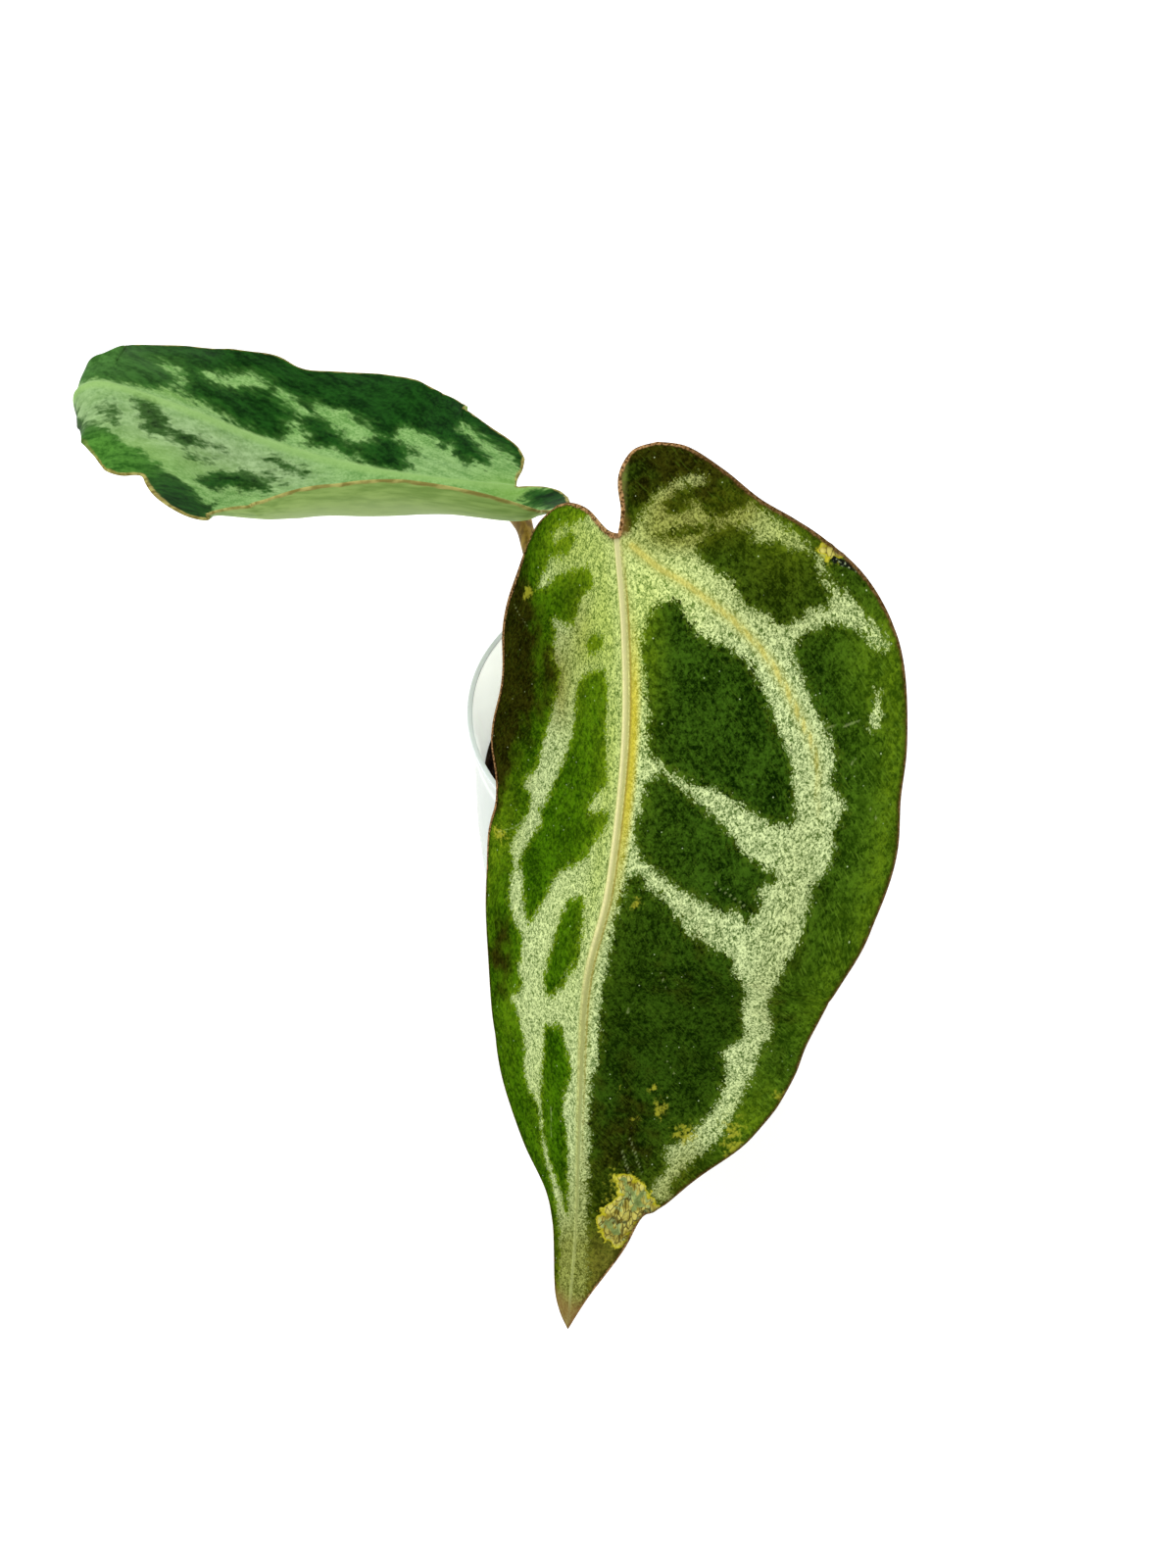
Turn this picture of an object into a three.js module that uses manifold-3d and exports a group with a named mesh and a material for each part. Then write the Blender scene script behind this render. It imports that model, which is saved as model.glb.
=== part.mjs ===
// Potted silver blush anthurium: two heart-shaped leaves on a short ringed stem that roots in a
// chunky mix in a white pot. Millimetres, +Z up. The origin is the middle of the pot's foot, and
// the front leaf hangs towards -Y.
import * as THREE from 'three';
import { mergeVertices } from 'three/addons/utils/BufferGeometryUtils.js';
import Module from 'manifold-3d';

const wasm = await Module();
wasm.setup();

// Driving sizes
const GAP = 0.3; // clearance between pieces that touch
const POT = {
  height: 106,
  rimRadius: 48,
  rimWall: 1.6,
  thinsFrom: 80,
  wall: 2.5,
  floor: 3,
  footRadius: 36,
  segments: 48,
  drainHoles: 6,
  drainRadius: 3.5,
  drainRing: 21,
};
const MIX = { top: 77, relief: 1.1, crown: 1.4, rings: 6, chunkReach: 35, seed: 11 };
const BARK = { count: 22, least: [8, 5, 3], most: [13, 8, 5], lift: 1.2 };
const PUMICE = { count: 10, least: 2, most: 3.6, lift: 1 };
const STEM = { foot: 58, top: 100, radius: 7, x: 0, y: 1, scars: 6, scarHeight: 0.55, sides: 16 };
const ROOT = { radius: 2.4, tipRadius: 1.7, reach: 21, foot: 58, bearings: [20, 78, 196, 322] };
const PETIOLE = {
  baseRadius: 3.6,
  radius: 2.4,
  footFade: 22,
  jointRadius: 3.1,
  jointLength: 13,
  sides: 10,
};
const BLADE = { thickness: 0.8, ridge: 1.5, rows: 40, sinusFade: 3 };
const BUD = { radius: 3.4, tipRadius: 0.35 };
const SHEATH = { thickness: 0.9, clear: 0.5, flare: 0.07, wrap: 112, rows: 10, columns: 9 };

// Each leaf: the path of its stalk up to the midrib's start, where the sheath round the stalk
// begins and how long it is, the midrib in space, the direction of its plus side along it, how
// steeply each half leaves the midrib and curls (degrees, and degrees per 10 mm, at shares of
// the length), how the two lobes bend behind the stalk, and the flat outline of each half as
// [along, out] in mm
const FRONT_LEAF = {
  stalk: [[0.5, 0, 86], [0.3, -8.5, 95], [-0.5, -13.5, 112], [-3, -20, 150], [-6, -21.5, 185]],
  sheath: { start: 10, length: 34 },
  midrib: [
    [-6.5, -19.1, 208], [-3.3, -39.4, 194], [-1.9, -60.6, 176.5], [-3.8, -85.7, 151.5],
    [-8.2, -102.9, 131], [-8.2, -125.2, 103.5], [-7.5, -147.4, 74.5], [-8.2, -168.1, 47],
  ],
  sideways: [[0, [0.891, -0.24, 0.385]], [1, [0.891, -0.24, 0.385]]],
  plus: {
    curl: [[0, -27, -1], [1, -27, -1]],
    lobe: [0, 12],
    sinus: [[0, 0], [-6, 1], [-14, 0.2], [-21, 3], [-23, 9]],
    margin: [
      [-23, 9], [-21, 16.5], [-14, 26], [-6, 35], [0, 44], [6, 51], [13, 58], [20, 63],
      [27, 66.5], [37, 69], [49, 70], [60, 69.5], [71, 70.6], [80, 70], [90, 67.6], [99, 64],
      [108, 62.6], [116, 62.5], [124, 61], [133, 58.2], [141, 56], [149, 52.5], [156, 48.5],
      [163, 43], [173, 31], [181, 22.7], [184.5, 17.5], [195, 13], [210, 5], [221.4, 0],
    ],
  },
  minus: {
    curl: [[0, -30, 0], [1, -30, 0]],
    lobe: [0, 26],
    sinus: [[0, 0], [-2, 5], [-8.5, 14], [-11.5, 22], [-12, 29]],
    margin: [
      [-12, 29], [-8, 38], [0, 46], [8, 53.7], [15, 57.4], [23, 59.5], [34, 61], [47, 63],
      [58, 64.3], [66, 64.2], [75, 61.5], [83, 59.7], [92, 60], [100, 59], [108, 55.2],
      [116, 52.4], [124, 49.7], [132, 47.6], [140, 45.5], [148, 44], [155, 42.7], [162, 39.2],
      [170, 33.8], [176, 27], [182, 20], [187, 14], [193, 11.2], [201, 10], [209, 8.5],
      [215, 7], [219, 4], [221.4, 0],
    ],
  },
  wave: { height: 0.8, length: 41, quilt: 0.35, pitch: 23 },
};
const BACK_LEAF = {
  stalk: [[-1, 1.5, 86], [-8.5, 6.5, 96], [-17, 12, 114], [-29, 21.5, 145], [-33.5, 29, 156]],
  sheath: { start: 10, length: 30 },
  midrib: [
    [-35.1, 34.3, 162.7], [-50.6, 32.1, 166.3], [-68.9, 33.7, 166.4], [-88.5, 38.7, 165.1],
    [-107.9, 43.4, 166.9], [-125.6, 45.5, 173.7], [-141.4, 47.4, 178.9], [-151.2, 47.6, 181.7],
    [-158.2, 47.4, 178.4], [-160.3, 47.8, 170], [-159.2, 49, 160], [-157, 50, 152],
  ],
  sideways: [
    [0, [-0.23, -0.96, 0.17]], [0.5, [-0.05, -0.99, 0.16]], [0.75, [0.12, -0.96, 0.22]],
    [1, [0.2, -0.96, -0.15]],
  ],
  plus: {
    curl: [
      [0, 10, 12.9], [0.15, 1.5, 13.1], [0.3, -7, 11.8], [0.45, -8.5, 9], [0.6, -4, 5.8],
      [0.75, -9, 2.6], [1, -20, -2],
    ],
    lobe: [-24, -4],
    sinus: [[0, 0], [-4, 0.8], [-8, 2.5], [-11.5, 7], [-12.5, 13.5]],
    margin: [
      [-12.5, 13.5], [-11, 21.5], [-5, 30], [3, 39.5], [14, 51], [25, 57], [35, 58.8],
      [45, 58.8], [57, 60.5], [66, 58.5], [75, 56.5], [82, 57.8], [88, 59.3], [92.5, 55.5],
      [95, 49.5], [98, 41], [100, 37], [104, 39.5], [108, 38.8], [113, 35], [117.5, 30],
      [120.5, 24.5], [123.5, 18.5], [128, 13], [138, 8], [156.3, 0],
    ],
  },
  minus: {
    curl: [[0, -11, 0], [0.15, -9, 0], [0.3, -2.5, 0], [0.6, -3.5, 0], [0.75, -9, 0], [1, -17.5, 0]],
    lobe: [0, 15.5],
    sinus: [[0, 0], [-1, 5], [-3.5, 11.5], [-5, 17.5]],
    margin: [
      [-5, 17.5], [-3.5, 24], [1.5, 31.5], [7, 39], [14, 44.5], [24, 47.8], [33, 48.2],
      [43, 46.4], [52, 47.2], [60, 47.3], [68, 43.8], [74.5, 40.3], [80, 42.3], [87, 39.5],
      [96, 38.6], [107.5, 35.8], [115, 32], [120, 27.3], [124.5, 21.5], [129.5, 16],
      [137, 10.5], [146, 5.5], [156.3, 0],
    ],
  },
  wave: { height: 0.6, length: 34, quilt: 0.3, pitch: 21 },
};

// Finishes
const FINISH = {
  pot: { color: 0xf2f3ef, roughness: 0.25 },
  mix: { color: 0x4a3423, roughness: 0.95 },
  stem: { color: 0x6f6a3c, roughness: 0.7 },
  root: { color: 0xb9a077, roughness: 0.85 },
  petiole: { color: 0xa98d55, roughness: 0.5 },
  sheath: { color: 0x7d5a38, roughness: 0.85 },
  bud: { color: 0x8f8a4a, roughness: 0.5 },
  frontBlade: { color: 0x2f5a26, roughness: 0.75 },
  backBlade: { color: 0x3d6b3f, roughness: 0.45 },
};

// Helpers

// A repeatable stream of numbers from 0 to 1
function seededRandom(seed) {
  let state = seed;
  return () => {
    state = (state * 1664525 + 1013904223) % 4294967296;
    return state / 4294967296;
  };
}

function toVector(point) {
  return new THREE.Vector3(...point);
}

// The value at x between rows of [x, a, b, ...], for the column asked
function between(rows, x, column) {
  const last = rows.length - 1;
  if (x <= rows[0][0]) {
    return rows[0][column];
  }
  for (let i = 0; i < last; i += 1) {
    if (x <= rows[i + 1][0]) {
      const share = (x - rows[i][0]) / (rows[i + 1][0] - rows[i][0]);
      return THREE.MathUtils.lerp(rows[i][column], rows[i + 1][column], share);
    }
  }
  return rows[last][column];
}

// A closed body from its corners and triangles, turned so that its faces point out
function closedBody(corners, triangles) {
  const real = triangles.filter(([a, b, c]) => a !== b && b !== c && c !== a);
  let volume = 0;
  for (const [a, b, c] of real) {
    volume += corners[a].dot(new THREE.Vector3().crossVectors(corners[b], corners[c]));
  }
  const index = volume > 0 ? real : real.map(([a, b, c]) => [a, c, b]);
  const geometry = new THREE.BufferGeometry().setFromPoints(corners);
  geometry.setIndex(index.flat());
  geometry.computeVertexNormals();
  return geometry;
}

// A round body along a curve. radiusAt takes the share of the way along it.
function roundBody(points, radiusAt, sides, steps) {
  const curve = new THREE.CatmullRomCurve3(points.map(toVector));
  const frames = curve.computeFrenetFrames(steps, false);
  const corners = [];
  const triangles = [];
  for (let i = 0; i <= steps; i += 1) {
    const centre = curve.getPointAt(i / steps);
    const radius = radiusAt(i / steps);
    for (let j = 0; j < sides; j += 1) {
      const angle = (2 * Math.PI * j) / sides;
      corners.push(centre.clone()
        .addScaledVector(frames.normals[i], radius * Math.cos(angle))
        .addScaledVector(frames.binormals[i], radius * Math.sin(angle)));
    }
  }
  const at = (i, j) => i * sides + (j % sides);
  for (let i = 0; i < steps; i += 1) {
    for (let j = 0; j < sides; j += 1) {
      triangles.push([at(i, j), at(i, j + 1), at(i + 1, j + 1)]);
      triangles.push([at(i, j), at(i + 1, j + 1), at(i + 1, j)]);
    }
  }
  for (const [ring, share] of [[0, 0], [steps, 1]]) {
    const centre = corners.push(curve.getPointAt(share)) - 1;
    for (let j = 0; j < sides; j += 1) {
      const pair = ring === 0 ? [at(ring, j + 1), at(ring, j)] : [at(ring, j), at(ring, j + 1)];
      triangles.push([centre, ...pair]);
    }
  }
  return closedBody(corners, triangles);
}

// A thin closed sheet from a grid of points. The upper face lies a fixed way over the grid,
// and below(row, column) is how far the lower face lies under it. The last row of a pointed
// sheet closes to one tip.
function sheetBody(grid, above, below, pointed) {
  const rows = grid.length;
  const columns = grid[0].length;
  const count = pointed ? (rows - 1) * columns + 1 : rows * columns;
  const at = (i, j) => (pointed && i === rows - 1 ? count - 1 : i * columns + j);
  const middle = new THREE.BufferGeometry();
  const points = [];
  grid.forEach((row, i) => row.forEach((point, j) => {
    points[at(i, j)] = point;
  }));
  const faces = [];
  for (let i = 0; i < rows - 1; i += 1) {
    for (let j = 0; j < columns - 1; j += 1) {
      const quad = [at(i, j), at(i + 1, j), at(i + 1, j + 1), at(i, j + 1)];
      faces.push([quad[0], quad[1], quad[2]]);
      faces.push([quad[0], quad[2], quad[3]]);
    }
  }
  const real = faces.filter(([a, b, c]) => a !== b && b !== c && c !== a);
  middle.setFromPoints(points);
  middle.setIndex(real.flat());
  middle.computeVertexNormals();
  const normals = middle.attributes.normal;
  const corners = [];
  for (const upper of [true, false]) {
    for (let k = 0; k < count; k += 1) {
      const i = Math.min(Math.floor(k / columns), rows - 1);
      const j = k - i * columns;
      const normal = new THREE.Vector3().fromBufferAttribute(normals, k);
      const shift = upper ? above : -below(i, j);
      corners.push(points[k].clone().addScaledVector(normal, shift));
    }
  }
  const triangles = [];
  for (const [a, b, c] of real) {
    triangles.push([a, b, c]);
    triangles.push([a + count, c + count, b + count]);
  }
  const loop = [];
  for (let j = 0; j < columns - 1; j += 1) {
    loop.push([at(0, j), at(0, j + 1)]);
    loop.push([at(rows - 1, j + 1), at(rows - 1, j)]);
  }
  for (let i = 0; i < rows - 1; i += 1) {
    loop.push([at(i, columns - 1), at(i + 1, columns - 1)]);
    loop.push([at(i + 1, 0), at(i, 0)]);
  }
  for (const [a, b] of loop.filter((edge) => edge[0] !== edge[1])) {
    triangles.push([a, b, b + count]);
    triangles.push([a, b + count, a + count]);
  }
  return closedBody(corners, triangles);
}

// Joins and cuts
function solidOf(geometry) {
  const bare = geometry.clone();
  bare.deleteAttribute('normal');
  bare.deleteAttribute('uv');
  const merged = mergeVertices(bare, 1e-4);
  const triangles = [];
  for (let i = 0; i < merged.index.count; i += 3) {
    const corner = [0, 1, 2].map((k) => merged.index.getX(i + k));
    if (new Set(corner).size === 3) {
      triangles.push(...corner);
    }
  }
  return new wasm.Manifold(new wasm.Mesh({
    numProp: 3,
    vertProperties: new Float32Array(merged.attributes.position.array),
    triVerts: new Uint32Array(triangles),
  }));
}

function geometryOf(solid) {
  const mesh = solid.getMesh();
  const geometry = new THREE.BufferGeometry();
  geometry.setAttribute('position', new THREE.BufferAttribute(mesh.vertProperties, 3));
  geometry.setIndex(Array.from(mesh.triVerts));
  geometry.computeVertexNormals();
  return geometry;
}

// What is left of a body when others are cut away, without loose scraps
function cutBy(geometry, cutters) {
  let solid = solidOf(geometry);
  for (const cutter of cutters) {
    solid = solid.subtract(solidOf(cutter));
  }
  const pieces = solid.decompose();
  pieces.sort((a, b) => b.volume() - a.volume());
  return geometryOf(pieces[0]);
}

function lathe(profile, segments) {
  const points = profile.map(([radius, height]) => new THREE.Vector2(radius, height));
  return new THREE.LatheGeometry(points, segments).rotateX(Math.PI / 2);
}

// Pot

// The outside of the wall, from the foot up, as [radius, height]: nearly straight with a
// rounded foot and a rim that flares a little
const wallOutside = [
  [POT.footRadius, 0], [39.6, 0.9], [42.4, 3.6], [43.9, 8], [44.9, 16], [45.9, 32], [46.5, 52],
  [46.4, 74], [46.5, 90], [47.1, 99], [POT.rimRadius - 0.2, POT.height - 1.2],
];

function insideRadius(height) {
  const heights = wallOutside.map(([radius, z]) => [z, radius]);
  const rimShare = THREE.MathUtils.smoothstep(height, POT.thinsFrom, POT.height);
  return between(heights, height, 1) - THREE.MathUtils.lerp(POT.wall, POT.rimWall, rimShare);
}

function potGeometry() {
  const rimTop = [
    [POT.rimRadius - 0.3, POT.height - 0.3],
    [POT.rimRadius - POT.rimWall / 2, POT.height],
    [POT.rimRadius - POT.rimWall + 0.2, POT.height - 0.4],
  ];
  const inside = [100, 90, 74, 52, 32, 16, 8].map((z) => [insideRadius(z), z]);
  const floorCorner = [[39.2, POT.floor + 1.6], [35, POT.floor]];
  const profile = [[0, 0], ...wallOutside, ...rimTop, ...inside, ...floorCorner, [0, POT.floor]];
  const holes = [];
  for (let i = 0; i < POT.drainHoles; i += 1) {
    const angle = (2 * Math.PI * i) / POT.drainHoles;
    const hole = new THREE.CylinderGeometry(POT.drainRadius, POT.drainRadius, 3 * POT.floor, 12);
    hole.rotateX(Math.PI / 2);
    hole.translate(POT.drainRing * Math.cos(angle), POT.drainRing * Math.sin(angle), 0);
    holes.push(hole);
  }
  return cutBy(lathe(profile, POT.segments), holes);
}

// Stem and roots

// The stem narrows to a dome and is ringed by the scars of old leaves
function stemGeometry(extra = 0) {
  const path = [
    [STEM.x, STEM.y, STEM.foot - extra],
    [STEM.x + 0.8, STEM.y - 0.4, (STEM.foot + STEM.top) / 2],
    [STEM.x, STEM.y, STEM.top + extra],
  ];
  const domeFrom = 0.86;
  const radiusAt = (share) => {
    const scar = STEM.scarHeight * (1 - ((share * STEM.scars) % 1)) ** 3;
    const intoDome = THREE.MathUtils.clamp((share - domeFrom) / (1 - domeFrom), 0, 0.97);
    const foot = Math.min(1, 0.75 + share * 4);
    return (STEM.radius + scar) * Math.sqrt(1 - intoDome ** 2) * foot + extra;
  };
  return roundBody(path, radiusAt, STEM.sides, 24);
}

function rootPath(bearing, extra = 0) {
  const angle = THREE.MathUtils.degToRad(bearing);
  const outAndUp = [
    [4, 83], [11, 84.5], [17, 82], [ROOT.reach, 74], [ROOT.reach + 1.2, ROOT.foot - extra],
  ];
  return outAndUp.map(([out, z]) => [
    STEM.x + out * Math.cos(angle), STEM.y + out * Math.sin(angle), z,
  ]);
}

function rootGeometry(bearing, extra = 0) {
  const radiusAt = (share) => THREE.MathUtils.lerp(ROOT.radius, ROOT.tipRadius, share)
    * (share > 0.97 ? 0.6 : 1) + extra;
  return roundBody(rootPath(bearing, extra), radiusAt, 8, 14);
}

// Potting mix

// The body of the mix lies a gap inside the pot, with an uneven top
function mixBody() {
  const wall = [3.4, 8, 16, 32, 52, MIX.top].map((z) => [insideRadius(z) - GAP, z]);
  wall[0] = [34.5, POT.floor + GAP];
  wall.splice(1, 0, [38.4, POT.floor + GAP + 1.9]);
  const edge = wall[wall.length - 1][0];
  const top = [];
  for (let i = MIX.rings - 1; i >= 0; i -= 1) {
    top.push([(edge * i) / MIX.rings, MIX.top]);
  }
  const geometry = lathe([[0, POT.floor + GAP], ...wall, ...top], 40);
  const corners = geometry.attributes.position;
  for (let i = 0; i < corners.count; i += 1) {
    const [x, y, z] = [corners.getX(i), corners.getY(i), corners.getZ(i)];
    const inward = 1 - Math.hypot(x, y) / edge;
    if (z > MIX.top - 0.01) {
      const lump = Math.sin(0.41 * x + 1.3) * Math.cos(0.37 * y) + 0.8 * Math.sin(0.23 * y - 0.31 * x);
      corners.setZ(i, z + MIX.relief * lump * Math.min(1, 6 * inward) + MIX.crown * inward);
    }
  }
  return geometry;
}

// Chunks lie half sunk in the top, turned every way
function chunkOn(random, geometry, scale, lift) {
  const out = MIX.chunkReach * Math.sqrt(random());
  const bearing = 2 * Math.PI * random();
  geometry.scale(...scale);
  geometry.rotateX((random() - 0.5) * 0.9);
  geometry.rotateY((random() - 0.5) * 0.9);
  geometry.rotateZ(2 * Math.PI * random());
  geometry.translate(out * Math.cos(bearing), out * Math.sin(bearing), MIX.top + lift);
  return geometry;
}

function mixGeometry(rootCutters, stemCutter) {
  const random = seededRandom(MIX.seed);
  let solid = solidOf(mixBody());
  for (let i = 0; i < BARK.count; i += 1) {
    const scale = BARK.least.map((least, k) => THREE.MathUtils.lerp(least, BARK.most[k], random()));
    const chip = chunkOn(random, new THREE.BoxGeometry(1, 1, 1), scale, BARK.lift);
    solid = solid.add(solidOf(chip));
  }
  for (let i = 0; i < PUMICE.count; i += 1) {
    const radius = THREE.MathUtils.lerp(PUMICE.least, PUMICE.most, random());
    const scale = [radius, radius * 0.85, radius * 0.8];
    const lump = chunkOn(random, new THREE.IcosahedronGeometry(1, 0), scale, PUMICE.lift);
    solid = solid.add(solidOf(lump));
  }
  for (const cutter of [stemCutter, ...rootCutters]) {
    solid = solid.subtract(solidOf(cutter));
  }
  const pieces = solid.decompose();
  pieces.sort((a, b) => b.volume() - a.volume());
  return geometryOf(pieces[0]);
}

// Leaves

// A leaf as a surface: at(along, out, half) gives the point that lies that far along the midrib
// and that far out from it on the plus or minus half
class LeafSurface {
  constructor(leaf) {
    this.leaf = leaf;
    const points = leaf.midrib.map(toVector);
    this.curve = new THREE.CatmullRomCurve3(points, false, 'catmullrom', 0.5);
    this.curve.arcLengthDivisions = 400;
    this.length = this.curve.getLength();
  }

  frame(along) {
    const share = THREE.MathUtils.clamp(along / this.length, 0, 1);
    const rows = this.leaf.sideways.map(([key, side]) => [key, ...side]);
    const centre = this.curve.getPointAt(share);
    const tangent = this.curve.getTangentAt(share);
    const side = new THREE.Vector3(...[1, 2, 3].map((column) => between(rows, share, column)));
    side.addScaledVector(tangent, -side.dot(tangent)).normalize();
    const normal = new THREE.Vector3().crossVectors(tangent, side);
    return { share, centre, tangent, side, normal };
  }

  at(along, out, half) {
    const { share, centre, tangent, side, normal } = this.frame(along);
    const { curl, lobe } = half > 0 ? this.leaf.plus : this.leaf.minus;
    const across = arc(between(curl, share, 1), between(curl, share, 2), out);
    const back = arc(lobe[0], lobe[1], Math.max(0, -along));
    return centre.clone()
      .addScaledVector(side, half * across.run)
      .addScaledVector(normal, across.rise + this.wave(along, out, half) - back.rise)
      .addScaledVector(tangent, -back.run);
  }

  // The margin waves gently and the blade swells between its side veins
  wave(along, out, half) {
    const { height, length, quilt, pitch } = this.leaf.wave;
    const edge = THREE.MathUtils.smoothstep(out, 18, 62);
    const ripple = Math.sin((2 * Math.PI * along) / length + 1.1 * half);
    const swell = Math.cos((2 * Math.PI * (along - 0.6 * out)) / pitch);
    const taper = THREE.MathUtils.smoothstep(out, 2, 16) * (1 - 0.7 * edge);
    return height * edge * ripple + quilt * swell * taper;
  }
}

// How far a line runs and rises that starts at an angle and bends by degrees per 10 mm
function arc(degrees, degreesPerCm, distance) {
  const start = THREE.MathUtils.degToRad(degrees);
  const bend = THREE.MathUtils.degToRad(degreesPerCm) / 10;
  if (Math.abs(bend) < 1e-6) {
    return { run: distance * Math.cos(start), rise: distance * Math.sin(start) };
  }
  const end = start + bend * distance;
  return {
    run: (Math.sin(end) - Math.sin(start)) / bend,
    rise: (Math.cos(start) - Math.cos(end)) / bend,
  };
}

// One half of a leaf laid flat: rows run from the midrib to the margin, and the first row
// follows the sinus beside the stalk out to the tip of the lobe
function flatHalf(half, length, shares) {
  const flat = (points) => new THREE.SplineCurve(points.map((point) => new THREE.Vector2(...point)));
  const sinus = flat(half.sinus);
  const margin = flat(half.margin);
  const lobeTip = sinus.getPointAt(1);
  const rows = [];
  for (let i = 0; i <= BLADE.rows; i += 1) {
    const down = i / BLADE.rows;
    const edge = margin.getPointAt(down);
    const fade = (1 - down) ** BLADE.sinusFade;
    rows.push(shares.map((share) => {
      const notch = sinus.getPointAt(share);
      const point = new THREE.Vector2(length * down, 0).lerp(edge, share);
      return point.addScaledVector(notch, fade).addScaledVector(lobeTip, -fade * share);
    }));
  }
  return rows;
}

const columnShares = [0, 0.035, 0.11, 0.23, 0.37, 0.52, 0.68, 0.84, 1];

function bladeGeometry(surface, extra = 0) {
  const [plus, minus] = [surface.leaf.plus, surface.leaf.minus].map(
    (half) => flatHalf(half, surface.length, columnShares),
  );
  const last = columnShares.length - 1;
  const grid = plus.map((row, i) => {
    const left = minus[i].slice(1).reverse().map(({ x, y }) => surface.at(x, y, -1));
    const right = row.map(({ x, y }) => surface.at(x, y, 1));
    return [...left, ...right];
  });
  const half = BLADE.thickness / 2 + extra;
  const ridgeAt = (i, j) => (j === last ? BLADE.ridge * (1 - i / BLADE.rows) ** 0.7 : 0);
  return sheetBody(grid, half, (i, j) => half + ridgeAt(i, j), true);
}

// Stalks, their sheaths and the bud

// The stalk's radius at a distance from its foot: thick there, and swollen below the blade
function stalkRadius(distance, length) {
  const foot = (PETIOLE.baseRadius - PETIOLE.radius) * Math.exp(-distance / PETIOLE.footFade);
  const jointFrom = length - PETIOLE.jointLength;
  const joint = THREE.MathUtils.smoothstep(distance, jointFrom, jointFrom + PETIOLE.jointLength / 2);
  return PETIOLE.radius + foot + joint * (PETIOLE.jointRadius - PETIOLE.radius);
}

function stalkPath(leaf) {
  return [...leaf.stalk, leaf.midrib[0]];
}

function petioleGeometry(leaf, extra = 0) {
  const path = stalkPath(leaf);
  const length = new THREE.CatmullRomCurve3(path.map(toVector)).getLength();
  const radiusAt = (share) => stalkRadius(share * length, length) + extra;
  return roundBody(path, radiusAt, PETIOLE.sides, 26);
}

// A papery sheath that wraps the outer side of a stalk's foot and narrows to a point
function sheathGeometry(leaf, cutters) {
  const { start, length } = leaf.sheath;
  const curve = new THREE.CatmullRomCurve3(stalkPath(leaf).map(toVector));
  const total = curve.getLength();
  const axis = new THREE.Vector3(STEM.x, STEM.y, 0);
  const grid = [];
  for (let i = 0; i <= SHEATH.rows; i += 1) {
    const climb = i / SHEATH.rows;
    const share = (start + climb * length) / total;
    const centre = curve.getPointAt(share);
    const tangent = curve.getTangentAt(share);
    const outward = curve.getPointAt((start + length) / total).sub(axis).setZ(0);
    outward.addScaledVector(tangent, -outward.dot(tangent)).normalize();
    const aside = new THREE.Vector3().crossVectors(tangent, outward);
    const clear = SHEATH.clear + SHEATH.thickness / 2 + SHEATH.flare * climb * length;
    const radius = stalkRadius(share * total, total) + clear;
    const wrap = SHEATH.wrap * (1 - climb ** 2.2) + 3;
    const row = [];
    for (let j = 0; j < SHEATH.columns; j += 1) {
      const angle = THREE.MathUtils.degToRad(wrap * ((2 * j) / (SHEATH.columns - 1) - 1));
      row.push(centre.clone()
        .addScaledVector(outward, radius * Math.cos(angle))
        .addScaledVector(aside, radius * Math.sin(angle)));
    }
    grid.push(row);
  }
  const half = SHEATH.thickness / 2;
  return cutBy(sheetBody(grid, half, () => half, false), cutters);
}

function budGeometry(stemCutter) {
  const path = [[STEM.x, STEM.y, 90], [2.5, 2.5, 103], [5, 3.5, 114], [6.5, 4, 127]];
  const radiusAt = (share) => BUD.radius * (1 - share ** 2.4) + BUD.tipRadius;
  return cutBy(roundBody(path, radiusAt, 10, 14), [stemCutter]);
}

// Assembly

const group = new THREE.Group();

function place(name, geometry, finish) {
  const material = new THREE.MeshStandardMaterial({ ...finish, metalness: 0 });
  const mesh = new THREE.Mesh(geometry, material);
  mesh.name = name;
  group.add(mesh);
}

const stemCutter = stemGeometry(GAP);

place('pot', potGeometry(), FINISH.pot);
const rootCutters = ROOT.bearings.map((bearing) => rootGeometry(bearing, GAP));
place('potting_mix', mixGeometry(rootCutters, stemCutter), FINISH.mix);
place('stem', stemGeometry(), FINISH.stem);
ROOT.bearings.forEach((bearing, i) => {
  place(`root_${i + 1}`, cutBy(rootGeometry(bearing), [stemCutter]), FINISH.root);
});
place('bud', budGeometry(stemCutter), FINISH.bud);

const leaves = [['front', FRONT_LEAF, FINISH.frontBlade], ['back', BACK_LEAF, FINISH.backBlade]];
for (const [name, leaf, finish] of leaves) {
  const surface = new LeafSurface(leaf);
  const blades = [[0, 0], [GAP, 0], [-GAP, 0], [0, GAP], [0, -GAP]].map(
    ([x, y]) => bladeGeometry(surface, GAP).translate(x, y, 0),
  );
  const stalkCutters = [stemCutter, ...blades];
  place(`petiole_${name}`, cutBy(petioleGeometry(leaf), stalkCutters), FINISH.petiole);
  const sheathCutters = [stemCutter, petioleGeometry(leaf, GAP)];
  place(`cataphyll_${name}`, sheathGeometry(leaf, sheathCutters), FINISH.sheath);
  place(`blade_${name}`, bladeGeometry(surface), finish);
}

export default group;
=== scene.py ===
# Potted silver blush anthurium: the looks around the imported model. Lengths in the tables are
# millimetres in the model's own frame, and MM turns them into metres.
import math

import bmesh
import bpy
import numpy as np
from mathutils import Matrix, Vector


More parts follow.
